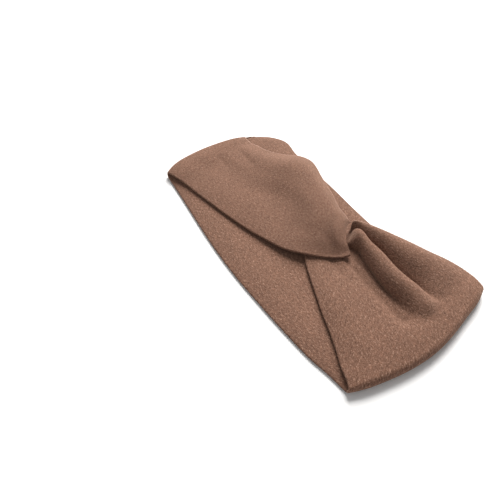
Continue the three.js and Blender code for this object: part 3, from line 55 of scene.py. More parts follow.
# left front panel, stations from the left end to the knot:
# lower edge, four points between, and upper rim, each xyz
LEFT = np.array([[-90.37, -44.28, 5.0, -91.86, -27.15, 5.3, -92.95, -14.7, 5.6, -94.03, -2.25, 6.4, -95.12, 10.19, 7.4, -96.2, 22.64, 7.4],
 [-67.68, -40.9, 5.0, -71.03, -23.79, 5.5, -73.46, -11.36, 5.8, -75.89, 1.07, 7.2, -78.33, 13.51, 9.2, -80.76, 25.94, 9.0],
 [-45.75, -37.1, 5.1, -51.7, -19.31, 5.9, -56.02, -6.39, 6.3, -60.34, 6.53, 8.8, -64.66, 19.45, 11.8, -68.98, 32.37, 10.4],
 [-26.44, -33.31, 5.3, -34.97, -14.68, 6.2, -41.17, -1.14, 6.9, -47.37, 12.4, 11.6, -53.56, 25.93, 15.0, -59.76, 39.47, 11.8],
 [-9.59, -28.61, 5.9, -19.58, -10.54, 6.9, -26.84, 2.59, 9.0, -34.1, 15.72, 14.0, -41.36, 28.85, 16.3, -48.62, 41.98, 12.8],
 [5.92, -23.68, 7.0, -3.28, -8.35, 8.7, -9.96, 2.79, 12.0, -16.65, 13.93, 15.6, -23.33, 25.07, 16.4, -30.01, 36.21, 13.2],
 [17.61, -16.46, 8.5, 9.95, -4.41, 10.8, 4.38, 4.35, 14.1, -1.19, 13.1, 16.1, -6.76, 21.85, 16.3, -12.34, 30.61, 13.8],
 [26.36, -8.73, 8.6, 20.15, -0.09, 11.1, 15.64, 6.19, 14.1, 11.12, 12.47, 16.0, 6.61, 18.75, 16.1, 2.09, 25.03, 14.2],
 [31.69, -3.23, 8.6, 28.49, 1.76, 10.3, 24.16, 4.2, 13.0, 18.51, 7.42, 15.1, 12.2, 14.9, 15.3, 9.51, 23.47, 14.4],
 [34.83, 1.17, 8.8, 31.05, 5.53, 9.8, 26.34, 7.18, 11.7, 20.2, 11.29, 13.8, 15.17, 17.7, 14.3, 14.25, 22.7, 13.8],
 [36.72, 4.04, 9.5, 33.09, 7.26, 10.1, 27.6, 8.59, 11.0, 21.15, 12.66, 12.4, 16.09, 18.86, 13.0, 14.84, 23.53, 12.6],
 [37.49, 6.17, 10.4, 34.57, 7.86, 10.4, 28.44, 9.37, 10.6, 21.68, 13.71, 11.1, 16.7, 19.89, 11.5, 15.22, 24.22, 11.3]], float)
# right front panel, stations from the right end to the knot; 14 lines across, left edge to rim
RIGHT = np.array([[[80.68, -44.23, 5.1], [81.46, -39.3, 6.07], [83.4, -26.97, 7.11], [86.28, -8.73, 7.26], [88.46, 5.08, 5.5], [89.15, 8.35, 7.55], [89.81, 11.49, 9.82], [90.92, 16.74, 10.9], [88.79, 20.65, 10.09], [87.88, 22.31, 8.68], [87.11, 23.74, 7.2], [84.02, 29.42, 9.01], [78.6, 39.36, 11.91], [73.65, 48.45, 12.06], [71.64, 52.14, 11.0]],
 [[69.87, -39.62, 5.1], [70.73, -34.93, 6.15], [72.89, -23.23, 7.22], [76.07, -5.9, 7.26], [78.48, 7.21, 5.2], [79.11, 9.28, 9.2], [79.98, 12.18, 11.98], [81.59, 17.57, 12.9], [79.58, 20.78, 11.45], [78.72, 22.14, 8.94], [77.99, 23.31, 6.3], [75.08, 27.95, 9.13], [70.0, 36.07, 13.72], [65.34, 43.49, 14.5], [63.45, 46.5, 13.3]],
 [[58.19, -35.26, 5.1], [59.32, -30.96, 6.08], [62.12, -20.22, 7.04], [66.27, -4.31, 7.01], [69.4, 7.72, 5.0], [69.9, 8.95, 11.08], [70.99, 11.66, 13.74], [72.92, 16.48, 14.5], [70.97, 19.15, 12.59], [70.15, 20.28, 9.28], [69.44, 21.25, 5.8], [66.46, 25.34, 9.28], [61.24, 32.49, 14.96], [56.46, 39.03, 16.33], [54.52, 41.69, 15.2]],
 [[45.67, -29.69, 5.1], [47.15, -25.86, 5.86], [50.85, -16.28, 6.6], [56.34, -2.11, 6.57], [60.49, 8.62, 5.0], [60.76, 9.61, 11.86], [61.42, 12.04, 14.57], [62.55, 16.22, 15.4], [60.44, 18.76, 13.27], [59.55, 19.84, 9.58], [58.79, 20.77, 5.7], [56.08, 24.03, 9.44], [51.36, 29.74, 15.58], [47.04, 34.96, 17.37], [45.28, 37.08, 16.4]],
 [[33.08, -24.33, 5.1], [34.89, -20.8, 5.53], [39.43, -12.0, 5.94], [46.14, 1.03, 5.91], [51.22, 10.9, 5.0], [51.14, 11.59, 11.7], [50.85, 13.95, 14.94], [50.37, 17.83, 15.8], [48.19, 20.08, 13.58], [47.27, 21.04, 9.74], [46.47, 21.86, 5.7], [44.31, 24.09, 9.31], [40.53, 27.99, 15.27], [37.08, 31.55, 17.4], [35.68, 33.0, 16.8]],
 [[22.54, -19.19, 5.1], [24.42, -15.92, 5.25], [29.11, -7.74, 5.39], [36.06, 4.37, 5.36], [41.31, 13.54, 5.0], [41.2, 13.74, 10.3], [40.33, 15.31, 14.33], [38.59, 18.46, 15.6], [36.29, 20.33, 13.53], [35.31, 21.13, 9.96], [34.47, 21.81, 6.2], [32.68, 23.26, 9.21], [29.55, 25.81, 14.23], [26.69, 28.14, 16.5], [25.52, 29.08, 16.4]],
 [[14.36, -14.38, 5.1], [16.12, -11.4, 5.09], [20.54, -3.96, 5.06], [27.08, 7.05, 5.03], [32.03, 15.39, 5.0], [31.78, 15.62, 9.8], [29.74, 17.44, 13.45], [25.67, 21.09, 14.6], [23.22, 22.07, 13.06], [22.18, 22.48, 10.4], [21.28, 22.84, 7.6], [20.48, 23.16, 9.62], [19.07, 23.72, 13.04], [17.79, 24.24, 14.96], [17.27, 24.45, 15.2]],
 [[10.8, -13.94, 5.1], [12.3, -10.44, 5.1], [15.3, -4.94, 5.1], [18.8, 1.06, 5.1], [21.8, 6.06, 5.1], [23.3, 9.56, 5.3], [24.8, 12.36, 5.8], [24.3, 15.36, 6.4], [22.8, 17.36, 6.6], [22.1, 18.36, 6.5], [21.3, 19.26, 6.4], [20.3, 20.36, 6.3], [19.3, 21.36, 6.3], [18.3, 22.16, 6.3], [17.8, 22.86, 6.3]],
 [[4.8, -11.94, 5.2], [6.3, -9.14, 5.2], [9.3, -4.34, 5.2], [12.8, 0.46, 5.2], [15.8, 4.76, 5.2], [17.3, 7.56, 5.2], [18.8, 9.76, 5.2], [18.3, 12.36, 5.2], [16.8, 14.06, 5.2], [16.1, 14.86, 5.2], [15.3, 15.66, 5.2], [14.3, 16.66, 5.2], [13.3, 17.66, 5.2], [12.3, 18.46, 5.2], [11.8, 19.16, 5.2]]], float)
# end folds and back, from the top of the left fold round to the top of the right fold: (name, [[share, x, y, z], ...])
BACK = [("L0", [[0.0, -95.6, -45.54, 5.3], [0.04, -96.86, -42.83, 5.4], [0.1, -98.38, -38.76, 5.56], [0.2, -99.81, -31.98, 5.82], [0.35, -100.86, -21.81, 6.21], [0.5, -101.05, -11.64, 6.6], [0.65, -100.59, -1.47, 6.6], [0.8, -99.47, 8.7, 6.6], [0.92, -98.06, 16.84, 6.6], [1.0, -96.74, 22.26, 6.6]]),
 ("L1", [[0.0, -104.38, -47.74, 5.2], [0.04, -105.69, -44.94, 5.3], [0.1, -107.43, -40.74, 5.46], [0.2, -109.13, -33.74, 5.72], [0.35, -110.15, -23.24, 6.11], [0.5, -110.27, -12.74, 6.5], [0.65, -109.84, -2.24, 6.5], [0.8, -108.74, 8.26, 6.5], [0.92, -107.29, 16.66, 6.5], [1.0, -105.94, 22.26, 6.5]]),
 ("L2", [[0.0, -107.2, -48.34, 4.66], [0.04, -108.57, -45.48, 4.75], [0.1, -110.46, -41.2, 4.88], [0.2, -112.36, -34.06, 5.1], [0.35, -113.57, -23.35, 5.43], [0.5, -113.83, -12.64, 5.77], [0.65, -113.39, -1.93, 5.77], [0.8, -112.23, 8.78, 5.77], [0.92, -110.72, 17.35, 5.77], [1.0, -109.27, 23.06, 5.77]]),
 ("L3", [[0.0, -107.65, -48.54, 3.35], [0.04, -109.05, -45.64, 3.4], [0.1, -111.01, -41.28, 3.48], [0.2, -112.99, -34.02, 3.61], [0.35, -114.26, -23.13, 3.81], [0.5, -114.56, -12.24, 4.0], [0.65, -114.08, -1.35, 4.0], [0.8, -112.85, 9.54, 4.0], [0.92, -111.26, 18.25, 4.0], [1.0, -109.68, 24.06, 4.0]]),
 ("L4", [[0.0, -106.92, -48.94, 2.04], [0.04, -108.33, -45.98, 2.06], [0.1, -110.33, -41.54, 2.08], [0.2, -112.35, -34.14, 2.12], [0.35, -113.6, -23.04, 2.18], [0.5, -113.86, -11.59, 2.24], [0.65, -113.48, 0.54, 2.27], [0.8, -112.38, 13.38, 2.33], [0.92, -110.94, 24.14, 2.39], [1.0, -109.42, 31.56, 2.43]]),
 ("L5", [[0.0, -103.88, -49.44, 1.5], [0.04, -105.25, -46.46, 1.5], [0.1, -107.24, -41.99, 1.5], [0.2, -109.28, -34.54, 1.5], [0.35, -110.44, -23.37, 1.5], [0.5, -110.53, -11.36, 1.5], [0.65, -109.95, 2.29, 1.5], [0.8, -108.51, 17.59, 1.5], [0.92, -106.68, 31.02, 1.5], [1.0, -104.86, 40.56, 1.5]]),
 ("L6", [[0.0, -96.38, -50.24, 1.5], [0.04, -97.71, -46.32, 1.5], [0.1, -99.64, -40.45, 1.5], [0.2, -101.58, -30.66, 1.5], [0.35, -102.59, -15.97, 1.5], [0.5, -102.53, -1.29, 1.5], [0.65, -101.8, 13.4, 1.5], [0.8, -100.21, 28.08, 1.5], [0.92, -98.26, 39.83, 1.5], [1.0, -96.36, 47.66, 1.5]]),
 ("K-75", [[0.0, -72.2, -53.11, 1.5], [0.04, -72.2, -49.09, 1.5], [0.1, -72.2, -43.07, 1.5], [0.2, -72.2, -33.04, 1.5], [0.35, -72.2, -17.99, 1.5], [0.5, -72.2, -2.93, 1.5], [0.65, -72.2, 12.12, 1.5], [0.8, -72.2, 27.17, 1.5], [0.92, -72.2, 39.21, 1.5], [1.0, -72.2, 47.24, 1.5]]),
 ("K-50", [[0.0, -47.2, -56.36, 1.5], [0.04, -47.2, -52.26, 1.5], [0.1, -47.2, -46.12, 1.5], [0.2, -47.2, -35.87, 1.5], [0.35, -47.2, -20.5, 1.5], [0.5, -47.2, -5.14, 1.5], [0.65, -47.2, 10.23, 1.5], [0.8, -47.2, 25.6, 1.5], [0.92, -47.2, 37.89, 1.5], [1.0, -47.2, 46.09, 1.5]]),
 ("K-25", [[0.0, -22.2, -59.11, 1.5], [0.04, -22.2, -54.95, 1.5], [0.1, -22.2, -48.71, 1.5], [0.2, -22.2, -38.31, 1.5], [0.35, -22.2, -22.7, 1.5], [0.5, -22.2, -7.09, 1.5], [0.65, -22.2, 8.51, 1.5], [0.8, -22.2, 24.12, 1.5], [0.92, -22.2, 36.6, 1.5], [1.0, -22.2, 44.92, 1.5]]),
 ("K0", [[0.0, 2.8, -60.6, 1.5], [0.04, 2.8, -56.46, 1.5], [0.1, 2.8, -50.24, 1.5], [0.2, 2.8, -39.87, 1.5], [0.35, 2.8, -24.32, 1.5], [0.5, 2.8, -8.77, 1.5], [0.65, 2.8, 6.78, 1.5], [0.8, 2.8, 22.33, 1.5], [0.92, 2.8, 34.77, 1.5], [1.0, 2.8, 43.06, 1.5]]),
 ("K25", [[0.0, 27.8, -60.74, 1.5], [0.04, 27.8, -56.6, 1.5], [0.1, 27.8, -50.4, 1.5], [0.2, 27.8, -40.06, 1.5], [0.35, 27.8, -24.55, 1.5], [0.5, 27.8, -9.04, 1.5], [0.65, 27.8, 6.47, 1.5], [0.8, 27.8, 21.98, 1.5], [0.92, 27.8, 34.39, 1.5], [1.0, 27.8, 42.66, 1.5]]),
 ("K50", [[0.0, 52.8, -60.36, 1.5], [0.04, 52.8, -56.1, 1.5], [0.1, 52.8, -49.72, 1.5], [0.2, 52.8, -39.08, 1.5], [0.35, 52.8, -23.12, 1.5], [0.5, 52.8, -7.17, 1.5], [0.65, 52.8, 8.79, 1.5], [0.8, 52.8, 24.75, 1.5], [0.92, 52.8, 37.51, 1.5], [1.0, 52.8, 46.03, 1.5]]),
 ("K75", [[0.0, 77.8, -59.11, 1.5], [0.04, 77.8, -54.67, 1.5], [0.1, 77.8, -48.0, 1.5], [0.2, 77.8, -36.88, 1.5], [0.35, 77.8, -20.2, 1.5], [0.5, 77.8, -3.53, 1.5], [0.65, 77.8, 13.15, 1.5], [0.8, 77.8, 29.83, 1.5], [0.92, 77.8, 43.17, 1.5], [1.0, 77.8, 52.06, 1.5]]),
 ("R6", [[0.0, 92.3, -56.94, 1.5], [0.04, 93.83, -52.37, 1.5], [0.1, 95.86, -45.51, 1.5], [0.2, 98.51, -34.08, 1.5], [0.35, 101.17, -16.94, 1.5], [0.5, 101.72, 0.21, 1.5], [0.65, 99.05, 17.36, 1.5], [0.8, 95.0, 34.5, 1.5], [0.92, 91.3, 48.22, 1.5], [1.0, 88.21, 57.36, 1.5]]),
 ("R5", [[0.0, 102.16, -56.14, 1.5], [0.04, 103.67, -51.56, 1.5], [0.1, 105.62, -44.7, 1.5], [0.2, 108.16, -33.26, 1.5], [0.35, 110.67, -16.1, 1.5], [0.5, 110.94, 1.06, 1.5], [0.65, 108.28, 18.22, 1.5], [0.8, 104.05, 35.38, 1.5], [0.92, 100.47, 49.11, 1.5], [1.0, 97.12, 58.26, 1.5]]),
 ("R4", [[0.0, 105.08, -55.94, 2.06], [0.04, 106.59, -51.36, 2.06], [0.1, 108.55, -44.49, 2.07], [0.2, 111.12, -33.04, 2.09], [0.35, 113.68, -15.87, 2.11], [0.5, 113.93, 1.31, 2.13], [0.65, 111.26, 18.48, 2.13], [0.8, 106.97, 35.66, 2.13], [0.92, 103.43, 49.4, 2.13], [1.0, 99.99, 58.56, 2.13]]),
 ("R3", [[0.0, 105.63, -55.94, 3.4], [0.04, 107.16, -51.35, 3.42], [0.1, 109.14, -44.46, 3.46], [0.2, 111.72, -32.98, 3.51], [0.35, 114.31, -15.76, 3.59], [0.5, 114.53, 1.46, 3.65], [0.65, 111.87, 18.68, 3.65], [0.8, 107.52, 35.9, 3.65], [0.92, 104.0, 49.68, 3.65], [1.0, 100.47, 58.86, 3.65]]),
 ("R2", [[0.0, 105.28, -55.34, 4.74], [0.04, 106.79, -50.75, 4.78], [0.1, 108.72, -43.86, 4.84], [0.2, 111.25, -32.38, 4.93], [0.35, 113.76, -15.16, 5.08], [0.5, 113.81, 2.06, 5.17], [0.65, 111.15, 19.28, 5.17], [0.8, 106.69, 36.5, 5.17], [0.92, 103.23, 50.28, 5.17], [1.0, 99.55, 59.46, 5.17]]),
 ("R1", [[0.0, 102.67, -53.74, 5.4], [0.04, 104.1, -49.19, 5.44], [0.1, 105.91, -42.36, 5.51], [0.2, 108.28, -30.98, 5.62], [0.35, 110.61, -13.91, 5.79], [0.5, 110.33, 3.16, 5.9], [0.65, 107.69, 20.23, 5.9], [0.8, 103.1, 37.3, 5.9], [0.92, 99.74, 50.96, 5.9], [1.0, 95.95, 60.06, 5.9]]),
 ("R0", [[0.0, 93.48, -50.34, 5.3], [0.04, 94.75, -45.91, 5.54], [0.1, 96.4, -39.27, 5.91], [0.2, 98.58, -28.2, 6.52], [0.35, 100.73, -11.6, 7.19], [0.5, 100.01, 5.01, 7.3], [0.65, 97.43, 21.61, 7.3], [0.8, 92.75, 38.22, 7.3], [0.92, 89.54, 51.5, 6.6], [1.0, 85.76, 60.36, 5.8]])]


# ------------------------------------------------------------------ surface of the ring
def hermite(xs, P, x):
    xs = np.array(xs, float)
    P = np.array(P, float)
    m = np.zeros_like(P)
    h = np.diff(xs)
    d = np.diff(P, axis=0) / h[:, None]
    m[1:-1] = (d[:-1] * h[1:, None] + d[1:] * h[:-1, None]) / (h[1:] + h[:-1])[:, None]
    m[0] = d[0]
    m[-1] = d[-1]
    i = np.clip(np.searchsorted(xs, x, side="right") - 1, 0, len(xs) - 2)
    t = ((x - xs[i]) / h[i])[:, None]
    hh = h[i][:, None]
    return ((2 * t**3 - 3 * t**2 + 1) * P[i] + (t**3 - 2 * t**2 + t) * hh * m[i]
            + (-2 * t**3 + 3 * t**2) * P[i + 1] + (t**3 - t**2) * hh * m[i + 1])


def by_length(P, n):
    a = np.concatenate([[0], np.cumsum(np.linalg.norm(np.diff(P, axis=0), axis=1))])
    a /= a[-1]
    x = np.linspace(0, 1, n)
    return np.stack([np.interp(x, a, P[:, c]) for c in range(3)], 1)


def spline(P, n):
    P = np.asarray(P, float)
    a = np.concatenate([[0], np.cumsum(np.maximum(np.linalg.norm(np.diff(P, axis=0), axis=1), 1e-3))])
    x = np.unique(np.concatenate([np.linspace(a[i], a[i + 1], n) for i in range(len(a) - 1)]))
    return hermite(a, P, x)


def left_section(p):
    lo, mids, up = p[0:3], [p[3 + 3 * i:6 + 3 * i] for i in range(4)], p[15:18]
    d = (mids[0] - lo)[:2]
    d /= np.linalg.norm(d)
    inn = np.array([d[0], d[1], 0])
    return by_length(spline([lo, lo + inn * 1.5, *[m for m in mids if np.dot(m - lo, inn) > 2.2], up], 16), NC)


def gauss(S, sigma, axis):
    r = int(4 * sigma + 0.5)
    if r < 1:
        return S
    k = np.exp(-0.5 * (np.arange(-r, r + 1) / sigma) ** 2)
    k /= k.sum()
    P = np.concatenate([np.repeat(S.take([0], axis), r, axis), S, np.repeat(S.take([-1], axis), r, axis)], axis)
    n = S.shape[axis]
    out = np.zeros_like(S)
    for i, w in enumerate(k):
        out += w * P.take(np.arange(i, i + n), axis)
    return out


def soften(S, su, sv):
    S = gauss(S, su, 0)
    e = np.concatenate([2 * S[:, :1] - S[:, 12:0:-1], S, 2 * S[:, -1:] - S[:, -2:-14:-1]], axis=1)
    return gauss(e, sv, 1)[:, 12:-12]


def ring():
    d = np.linalg.norm(np.diff(LEFT[:, 9:12], axis=0), axis=1)
    s = np.concatenate([[0], np.cumsum(d)])
    A = np.array([left_section(p) for p in hermite(s, LEFT, np.linspace(0, s[-1], int(s[-1] / 1.5)))])
    d = np.linalg.norm(np.diff(RIGHT, axis=0), axis=2).mean(1)
    s = np.concatenate([[0], np.cumsum(d)])
    x = np.linspace(0, s[-1], int(s[-1] / 1.5))
    B = np.array([by_length(spline(r, 14), NC) for r in hermite(s, RIGHT.reshape(len(RIGHT), -1), x).reshape(len(x), -1, 3)])
    x = np.linspace(0, 1, NC)
    M = np.array([by_length(hermite([p[0] for p in r], [p[1:] for p in r], x), NC) for _, r in BACK])
    rows = np.vstack([A[::-1], M, B])
    names = ["A"] * len(A) + [n for n, _ in BACK] + ["B"] * len(B)
    d = np.linalg.norm(np.diff(rows, axis=0), axis=2).mean(1)
    u = np.concatenate([[0], np.cumsum(d)])
    at = {n: float(u[i]) for i, n in enumerate(names) if n not in "AB"}
    uu = np.arange(0, u[-1], 0.75)
    S = hermite(u, rows.reshape(len(rows), -1), uu).reshape(len(uu), NC, 3)
    a, b = soften(S, 2.6, 1.1), soften(S, 1.0, 0.8)
    t = np.clip((np.minimum(abs(uu - at["L3"]), abs(uu - at["R3"])) - 9) / 8, 0, 1)[:, None, None]
    t = t * t * (3 - 2 * t)
    S = b + (a - b) * t
    return uu, S, at


uu, S, at = ring()


def smoothstep(a, b, x):
    t = np.clip((x - a) / (b - a), 0, 1)
    return t * t * (3 - 2 * t)


# soft folds and puckers: panel, line in mm, half width in mm, height in mm
FOLDS = [("A", [[-108.3, -8.5], [-98.0, -8.7], [-85.5, -9.5]], 2.6, -0.55),
         ("A", [[-104.3, 8.3], [-92.5, 7.9], [-75.8, 6.7]], 3.0, -0.6),
         ("A", [[-107.0, -0.1], [-94.2, -1.1], [-79.0, -2.1]], 2.6, 0.35),
         ("A", [[9.2, 20.5], [18.7, 14.5], [29.4, 9.5]], 4.2, 1.0),
         ("A", [[9.2, 3.9], [22.7, 1.2]], 4.0, -0.3),
         ("A", [[34.0, -6.3], [36.6, -1.9], [37.8, 3.7]], 5.0, 1.3),
         ("B", [[30.7, 10.9], [36.9, 10.6], [43.6, 9.7]], 3.0, -0.6),
         ("B", [[29.7, -4.4], [36.1, -5.6], [43.2, -8.4]], 2.4, -0.8),
         ("B", [[34.0, 0.3], [41.3, -0.9], [49.0, -2.7]], 2.2, 0.7),
         ("B", [[43.1, 1.7], [59.7, 0.1], [76.0, -0.3], [89.9, -0.7]], 3.4, -0.7),
         ("B", [[43.6, 5.4], [58.4, 3.8], [74.5, 2.8], [88.5, 2.3]], 2.4, 1.15),
         ("B", [[100.0, 9.8], [108.4, 7.4], [115.1, 4.2]], 4.5, -0.7),
         ("B", [[95.7, 31.2], [100.5, 38.2], [106.7, 43.3]], 6.0, -0.8),
         ("B", [[58.4, -21.5], [80.1, -28.0], [98.1, -32.3]], 7, 0.35)]


def to_line(X, Y, line):
    best = np.full(X.shape, 1e9)
    for (x0, y0), (x1, y1) in zip(line[:-1], line[1:]):
        dx, dy = x1 - x0, y1 - y0
        t = np.clip(((X - x0) * dx + (Y - y0) * dy) / (dx * dx + dy * dy), 0, 1)
        best = np.minimum(best, np.hypot(X - x0 - t * dx, Y - y0 - t * dy))
    return best


for panel, line, width, height in FOLDS:
    side = smoothstep(at["L0"] + 2, at["L0"] - 8, uu) if panel == "A" else smoothstep(at["R0"] - 6, at["R0"] + 4, uu)
    S[..., 2] += height * np.exp(-(to_line(S[..., 0], S[..., 1], line) / width) ** 2) * side[:, None]


low = uu > at["R0"] + 6
q = S[low, :, 2] - 5.0
S[low, :, 2] = 5.0 + np.where(q > 1, q, np.where(q > -1, (q + 1) ** 2 / 4, 0))      # the right panel lies on the back
flat = smoothstep(at["L6"] - 2, at["L6"] + 8, uu) * (1 - smoothstep(at["R6"] - 8, at["R6"] + 2, uu))
S[..., 2] += (Z_BACK - S[..., 2]) * flat[:, None]
S[..., 2] = np.maximum(S[..., 2], Z_BACK)


# ------------------------------------------------------------------ knit layers
def bilinear(G, iu, iv):
    """G sampled at fractional row iu and column iv (1-D arrays), cubic along both."""
    def cubic(Gx, x):
        n = Gx.shape[0]
        i = np.clip(np.floor(x).astype(int), 0, n - 2)
        t = (x - i)[:, None, None]
        p0, p1, p2, p3 = Gx[np.maximum(i - 1, 0)], Gx[i], Gx[i + 1], Gx[np.minimum(i + 2, n - 1)]
        return p1 + 0.5 * t * (p2 - p0 + t * (2 * p0 - 5 * p1 + 4 * p2 - p3 + t * (3 * (p1 - p2) + p3 - p0)))
    a = cubic(G, iu)
    return cubic(a.transpose(1, 0, 2), iv).transpose(1, 0, 2)


def unit_normals(P):
    n = -np.cross(np.gradient(P, axis=0), np.gradient(P, axis=1))
    return n / np.maximum(np.linalg.norm(n, axis=2, keepdims=True), 1e-9)


def rows_between(a, b):
    """fractional rows from distance a to b, closer together round the end folds"""
    x, out = a, [a]
    while x < b - 0.4:
        near = min(abs(x - at["L3"]), abs(x - at["R3"]))
        x += 0.62 if near < 9 else 1.05
        out.append(min(x, b))
    if out[-1] < b:
        out.append(b)
    return np.array(out) / 0.75


EDGE = np.array([0, 0.0005, 0.0015, 0.003, 0.005, 0.0075, 0.0105, 0.014, 0.0185])
cols = np.concatenate([EDGE, np.linspace(0.026, 0.974, 92), (1 - EDGE)[::-1]]) * (NC - 1)


def from_edge(P):
    arc = np.concatenate([np.zeros((len(P), 1)), np.cumsum(np.linalg.norm(np.diff(P, axis=1), axis=2), axis=1)], axis=1)
    return np.minimum(arc, arc[:, -1:] - arc)


def half_thickness(edge):
    """the tube thins out towards its pressed edges"""
    return HALF - (HALF - THIN) * (1 - np.clip(edge / TAPER, 0, 1)) ** 2


def shell(name, P, N, side, across, material, uv):
    """a closed knit layer on one side of the middle surface; side is +1 outside, -1 inside"""
    nu, nv = P.shape[:2]
    edge = from_edge(P)
    body = half_thickness(edge)
    h = body * np.sqrt(np.maximum(0, 1 - (1 - np.clip(edge / THIN, 0, 1)) ** 2))
    h = np.maximum(h, 0.05)
    low = np.maximum(h - LAYER, 0.02)
    top, bottom = P + N * (side * h)[..., None], P + N * (side * low)[..., None]
    v = np.concatenate([top.reshape(-1, 3), bottom.reshape(-1, 3)]) * 0.001
    idx = np.arange(nu * nv).reshape(nu, nv)
    q = np.stack([idx[:-1, :-1], idx[1:, :-1], idx[1:, 1:], idx[:-1, 1:]], -1).reshape(-1, 4)
    k = nu * nv
    # N points against u x v, so for the outside the top quads run the other way round
    t_f, b_f = (q[:, ::-1], q + k) if side > 0 else (q, q[:, ::-1] + k)
    ring_i = np.concatenate([idx[0, :-1], idx[:-1, -1], idx[-1, :0:-1], idx[:0:-1, 0]])
    nxt = np.roll(ring_i, -1)
    rim = np.stack([ring_i, nxt, nxt + k, ring_i + k], -1)
    if side < 0:
        rim = rim[:, ::-1]
    faces = np.concatenate([t_f, b_f, rim])
    me = bpy.data.meshes.new(name)
    me.vertices.add(len(v))
    me.vertices.foreach_set("co", v.ravel())
    me.loops.add(faces.size)
    me.loops.foreach_set("vertex_index", faces.ravel().astype(np.int32))
    me.polygons.add(len(faces))
    me.polygons.foreach_set("loop_start", (np.arange(len(faces)) * 4).astype(np.int32))
    me.polygons.foreach_set("loop_total", np.full(len(faces), 4, np.int32))
    me.update(calc_edges=True)
    me.validate()
    me.polygons.foreach_set("use_smooth", np.ones(len(me.polygons), bool))
    lay = me.uv_layers.new(name="UVMap")
    uvv = np.concatenate([uv.reshape(-1, 2), uv.reshape(-1, 2)])
    li = np.zeros(len(me.loops), np.int32)
    me.loops.foreach_get("vertex_index", li)
    lay.data.foreach_set("uv", uvv[li].astype(np.float32).ravel())
    o = bpy.data.objects.new(name, me)
    bpy.context.scene.collection.objects.link(o)
    o.data.materials.append(material)
    return o


# ------------------------------------------------------------------ materials
def knit_material(name, base, dark, light, sheen):
    m = bpy.data.materials.new(name)
    m.use_nodes = True
    nt = m.node_tree
    nt.nodes.clear()
    n = nt.nodes.new
    link = nt.links.new
    out = n("ShaderNodeOutputMaterial")
    bs = n("ShaderNodeBsdfPrincipled")
    link(bs.outputs[0], out.inputs[0])
    bs.inputs["Roughness"].default_value = 0.92
    bs.inputs["Specular IOR Level"].default_value = 0.18
    bs.inputs["Sheen Weight"].default_value = sheen
    bs.inputs["Sheen Roughness"].default_value = 0.45
    bs.inputs["Sheen Tint"].default_value = (0.95, 0.66, 0.50, 1)
    uv = n("ShaderNodeUVMap")
    uv.uv_map = "UVMap"

    def scaled(x, y, rot=0.0):
        mp = n("ShaderNodeMapping")
        mp.inputs["Scale"].default_value = (x, y, 1)
        mp.inputs["Rotation"].default_value = (0, 0, rot)
        link(uv.outputs[0], mp.inputs[0])
        return mp.outputs[0]

    def noise(vec, scale, detail=2.0, rough=0.5, dist=0.0):
        t = n("ShaderNodeTexNoise")
        t.inputs["Scale"].default_value = scale
        t.inputs["Detail"].default_value = detail
        t.inputs["Roughness"].default_value = rough
        t.inputs["Distortion"].default_value = dist
        link(vec, t.inputs["Vector"])
        return t.outputs["Fac"]

    def ramp(fac, stops, interp="LINEAR"):
        r = n("ShaderNodeValToRGB")
        r.color_ramp.interpolation = interp
        while len(r.color_ramp.elements) < len(stops):
            r.color_ramp.elements.new(0.5)
        for e, (p, c) in zip(r.color_ramp.elements, stops):
            e.position = p
            e.color = (*c, 1) if len(c) == 3 else (c[0], c[0], c[0], 1)
        link(fac, r.inputs[0])
        return r.outputs[0]

    def mix(fac, a, b, mode="MIX"):
        x = n("ShaderNodeMix")
        x.data_type = "RGBA"
        x.blend_type = mode
        if isinstance(fac, float):
            x.inputs[0].default_value = fac
        else:
            link(fac, x.inputs[0])
        for s, v in ((6, a), (7, b)):
            if isinstance(v, tuple):
                x.inputs[s].default_value = (*v, 1)
            else:
                link(v, x.inputs[s])
        return x.outputs[2]

    def math_(op, a, b):
        x = n("ShaderNodeMath")
        x.operation = op
        for s, v in ((0, a), (1, b)):
            if isinstance(v, (int, float)):
                x.inputs[s].default_value = v
            else:
                link(v, x.inputs[s])
        return x.outputs[0]

    fine = scaled(1, 1)
    # melange: light and dark fibres mixed in the yarn, short dashes that lie every way
    f1 = noise(scaled(0.55, 1.0, 0.5), 1050, 3.0, 0.65)
    f2 = noise(scaled(1.0, 0.6, -0.6), 1700, 2.0, 0.6)
    f3 = noise(fine, 420, 3.0, 0.6)
    big = noise(fine, 60, 3.0, 0.55)
    c = ramp(f1, [(0.33, dark), (0.46, base), (0.55, base), (0.70, light)])
    c2 = ramp(f2, [(0.34, dark), (0.47, base), (0.55, base), (0.70, light)])
    c = mix(0.42, c, c2)
    cloud = ramp(f3, [(0.34, (0.82, 0.80, 0.79)), (0.5, (1.0, 1.0, 1.0)), (0.68, (1.17, 1.15, 1.13))])
    c = mix(1.0, c, cloud, "MULTIPLY")
    shade = ramp(big, [(0.3, (0.93,)), (0.7, (1.06,))])
    c = mix(1.0, c, shade, "MULTIPLY")
    link(c, bs.inputs["Base Color"])
    # bump: brushed nap over fine knit ribs
    nap = noise(scaled(0.8, 1.0, 0.3), 900, 4.0, 0.65, 0.4)
    fuzz = noise(fine, 3200, 2.0, 0.6)
    w = n("ShaderNodeTexWave")
    w.wave_type = "BANDS"
    w.bands_direction = "Y"
    w.inputs["Scale"].default_value = 330
    w.inputs["Distortion"].default_value = 3.0
    w.inputs["Detail"].default_value = 2.0
    w.inputs["Detail Scale"].default_value = 2.0
    link(fine, w.inputs["Vector"])
    h = math_("ADD", math_("MULTIPLY", nap, 0.62), math_("MULTIPLY", fuzz, 0.25))
    h = math_("ADD", h, math_("MULTIPLY", w.outputs["Fac"], 0.10))
    bump = n("ShaderNodeBump")
    bump.inputs["Strength"].default_value = 0.85
    bump.inputs["Distance"].default_value = 0.00045
    link(h, bump.inputs["Height"])
    link(bump.outputs[0], bs.inputs["Normal"])
    return m


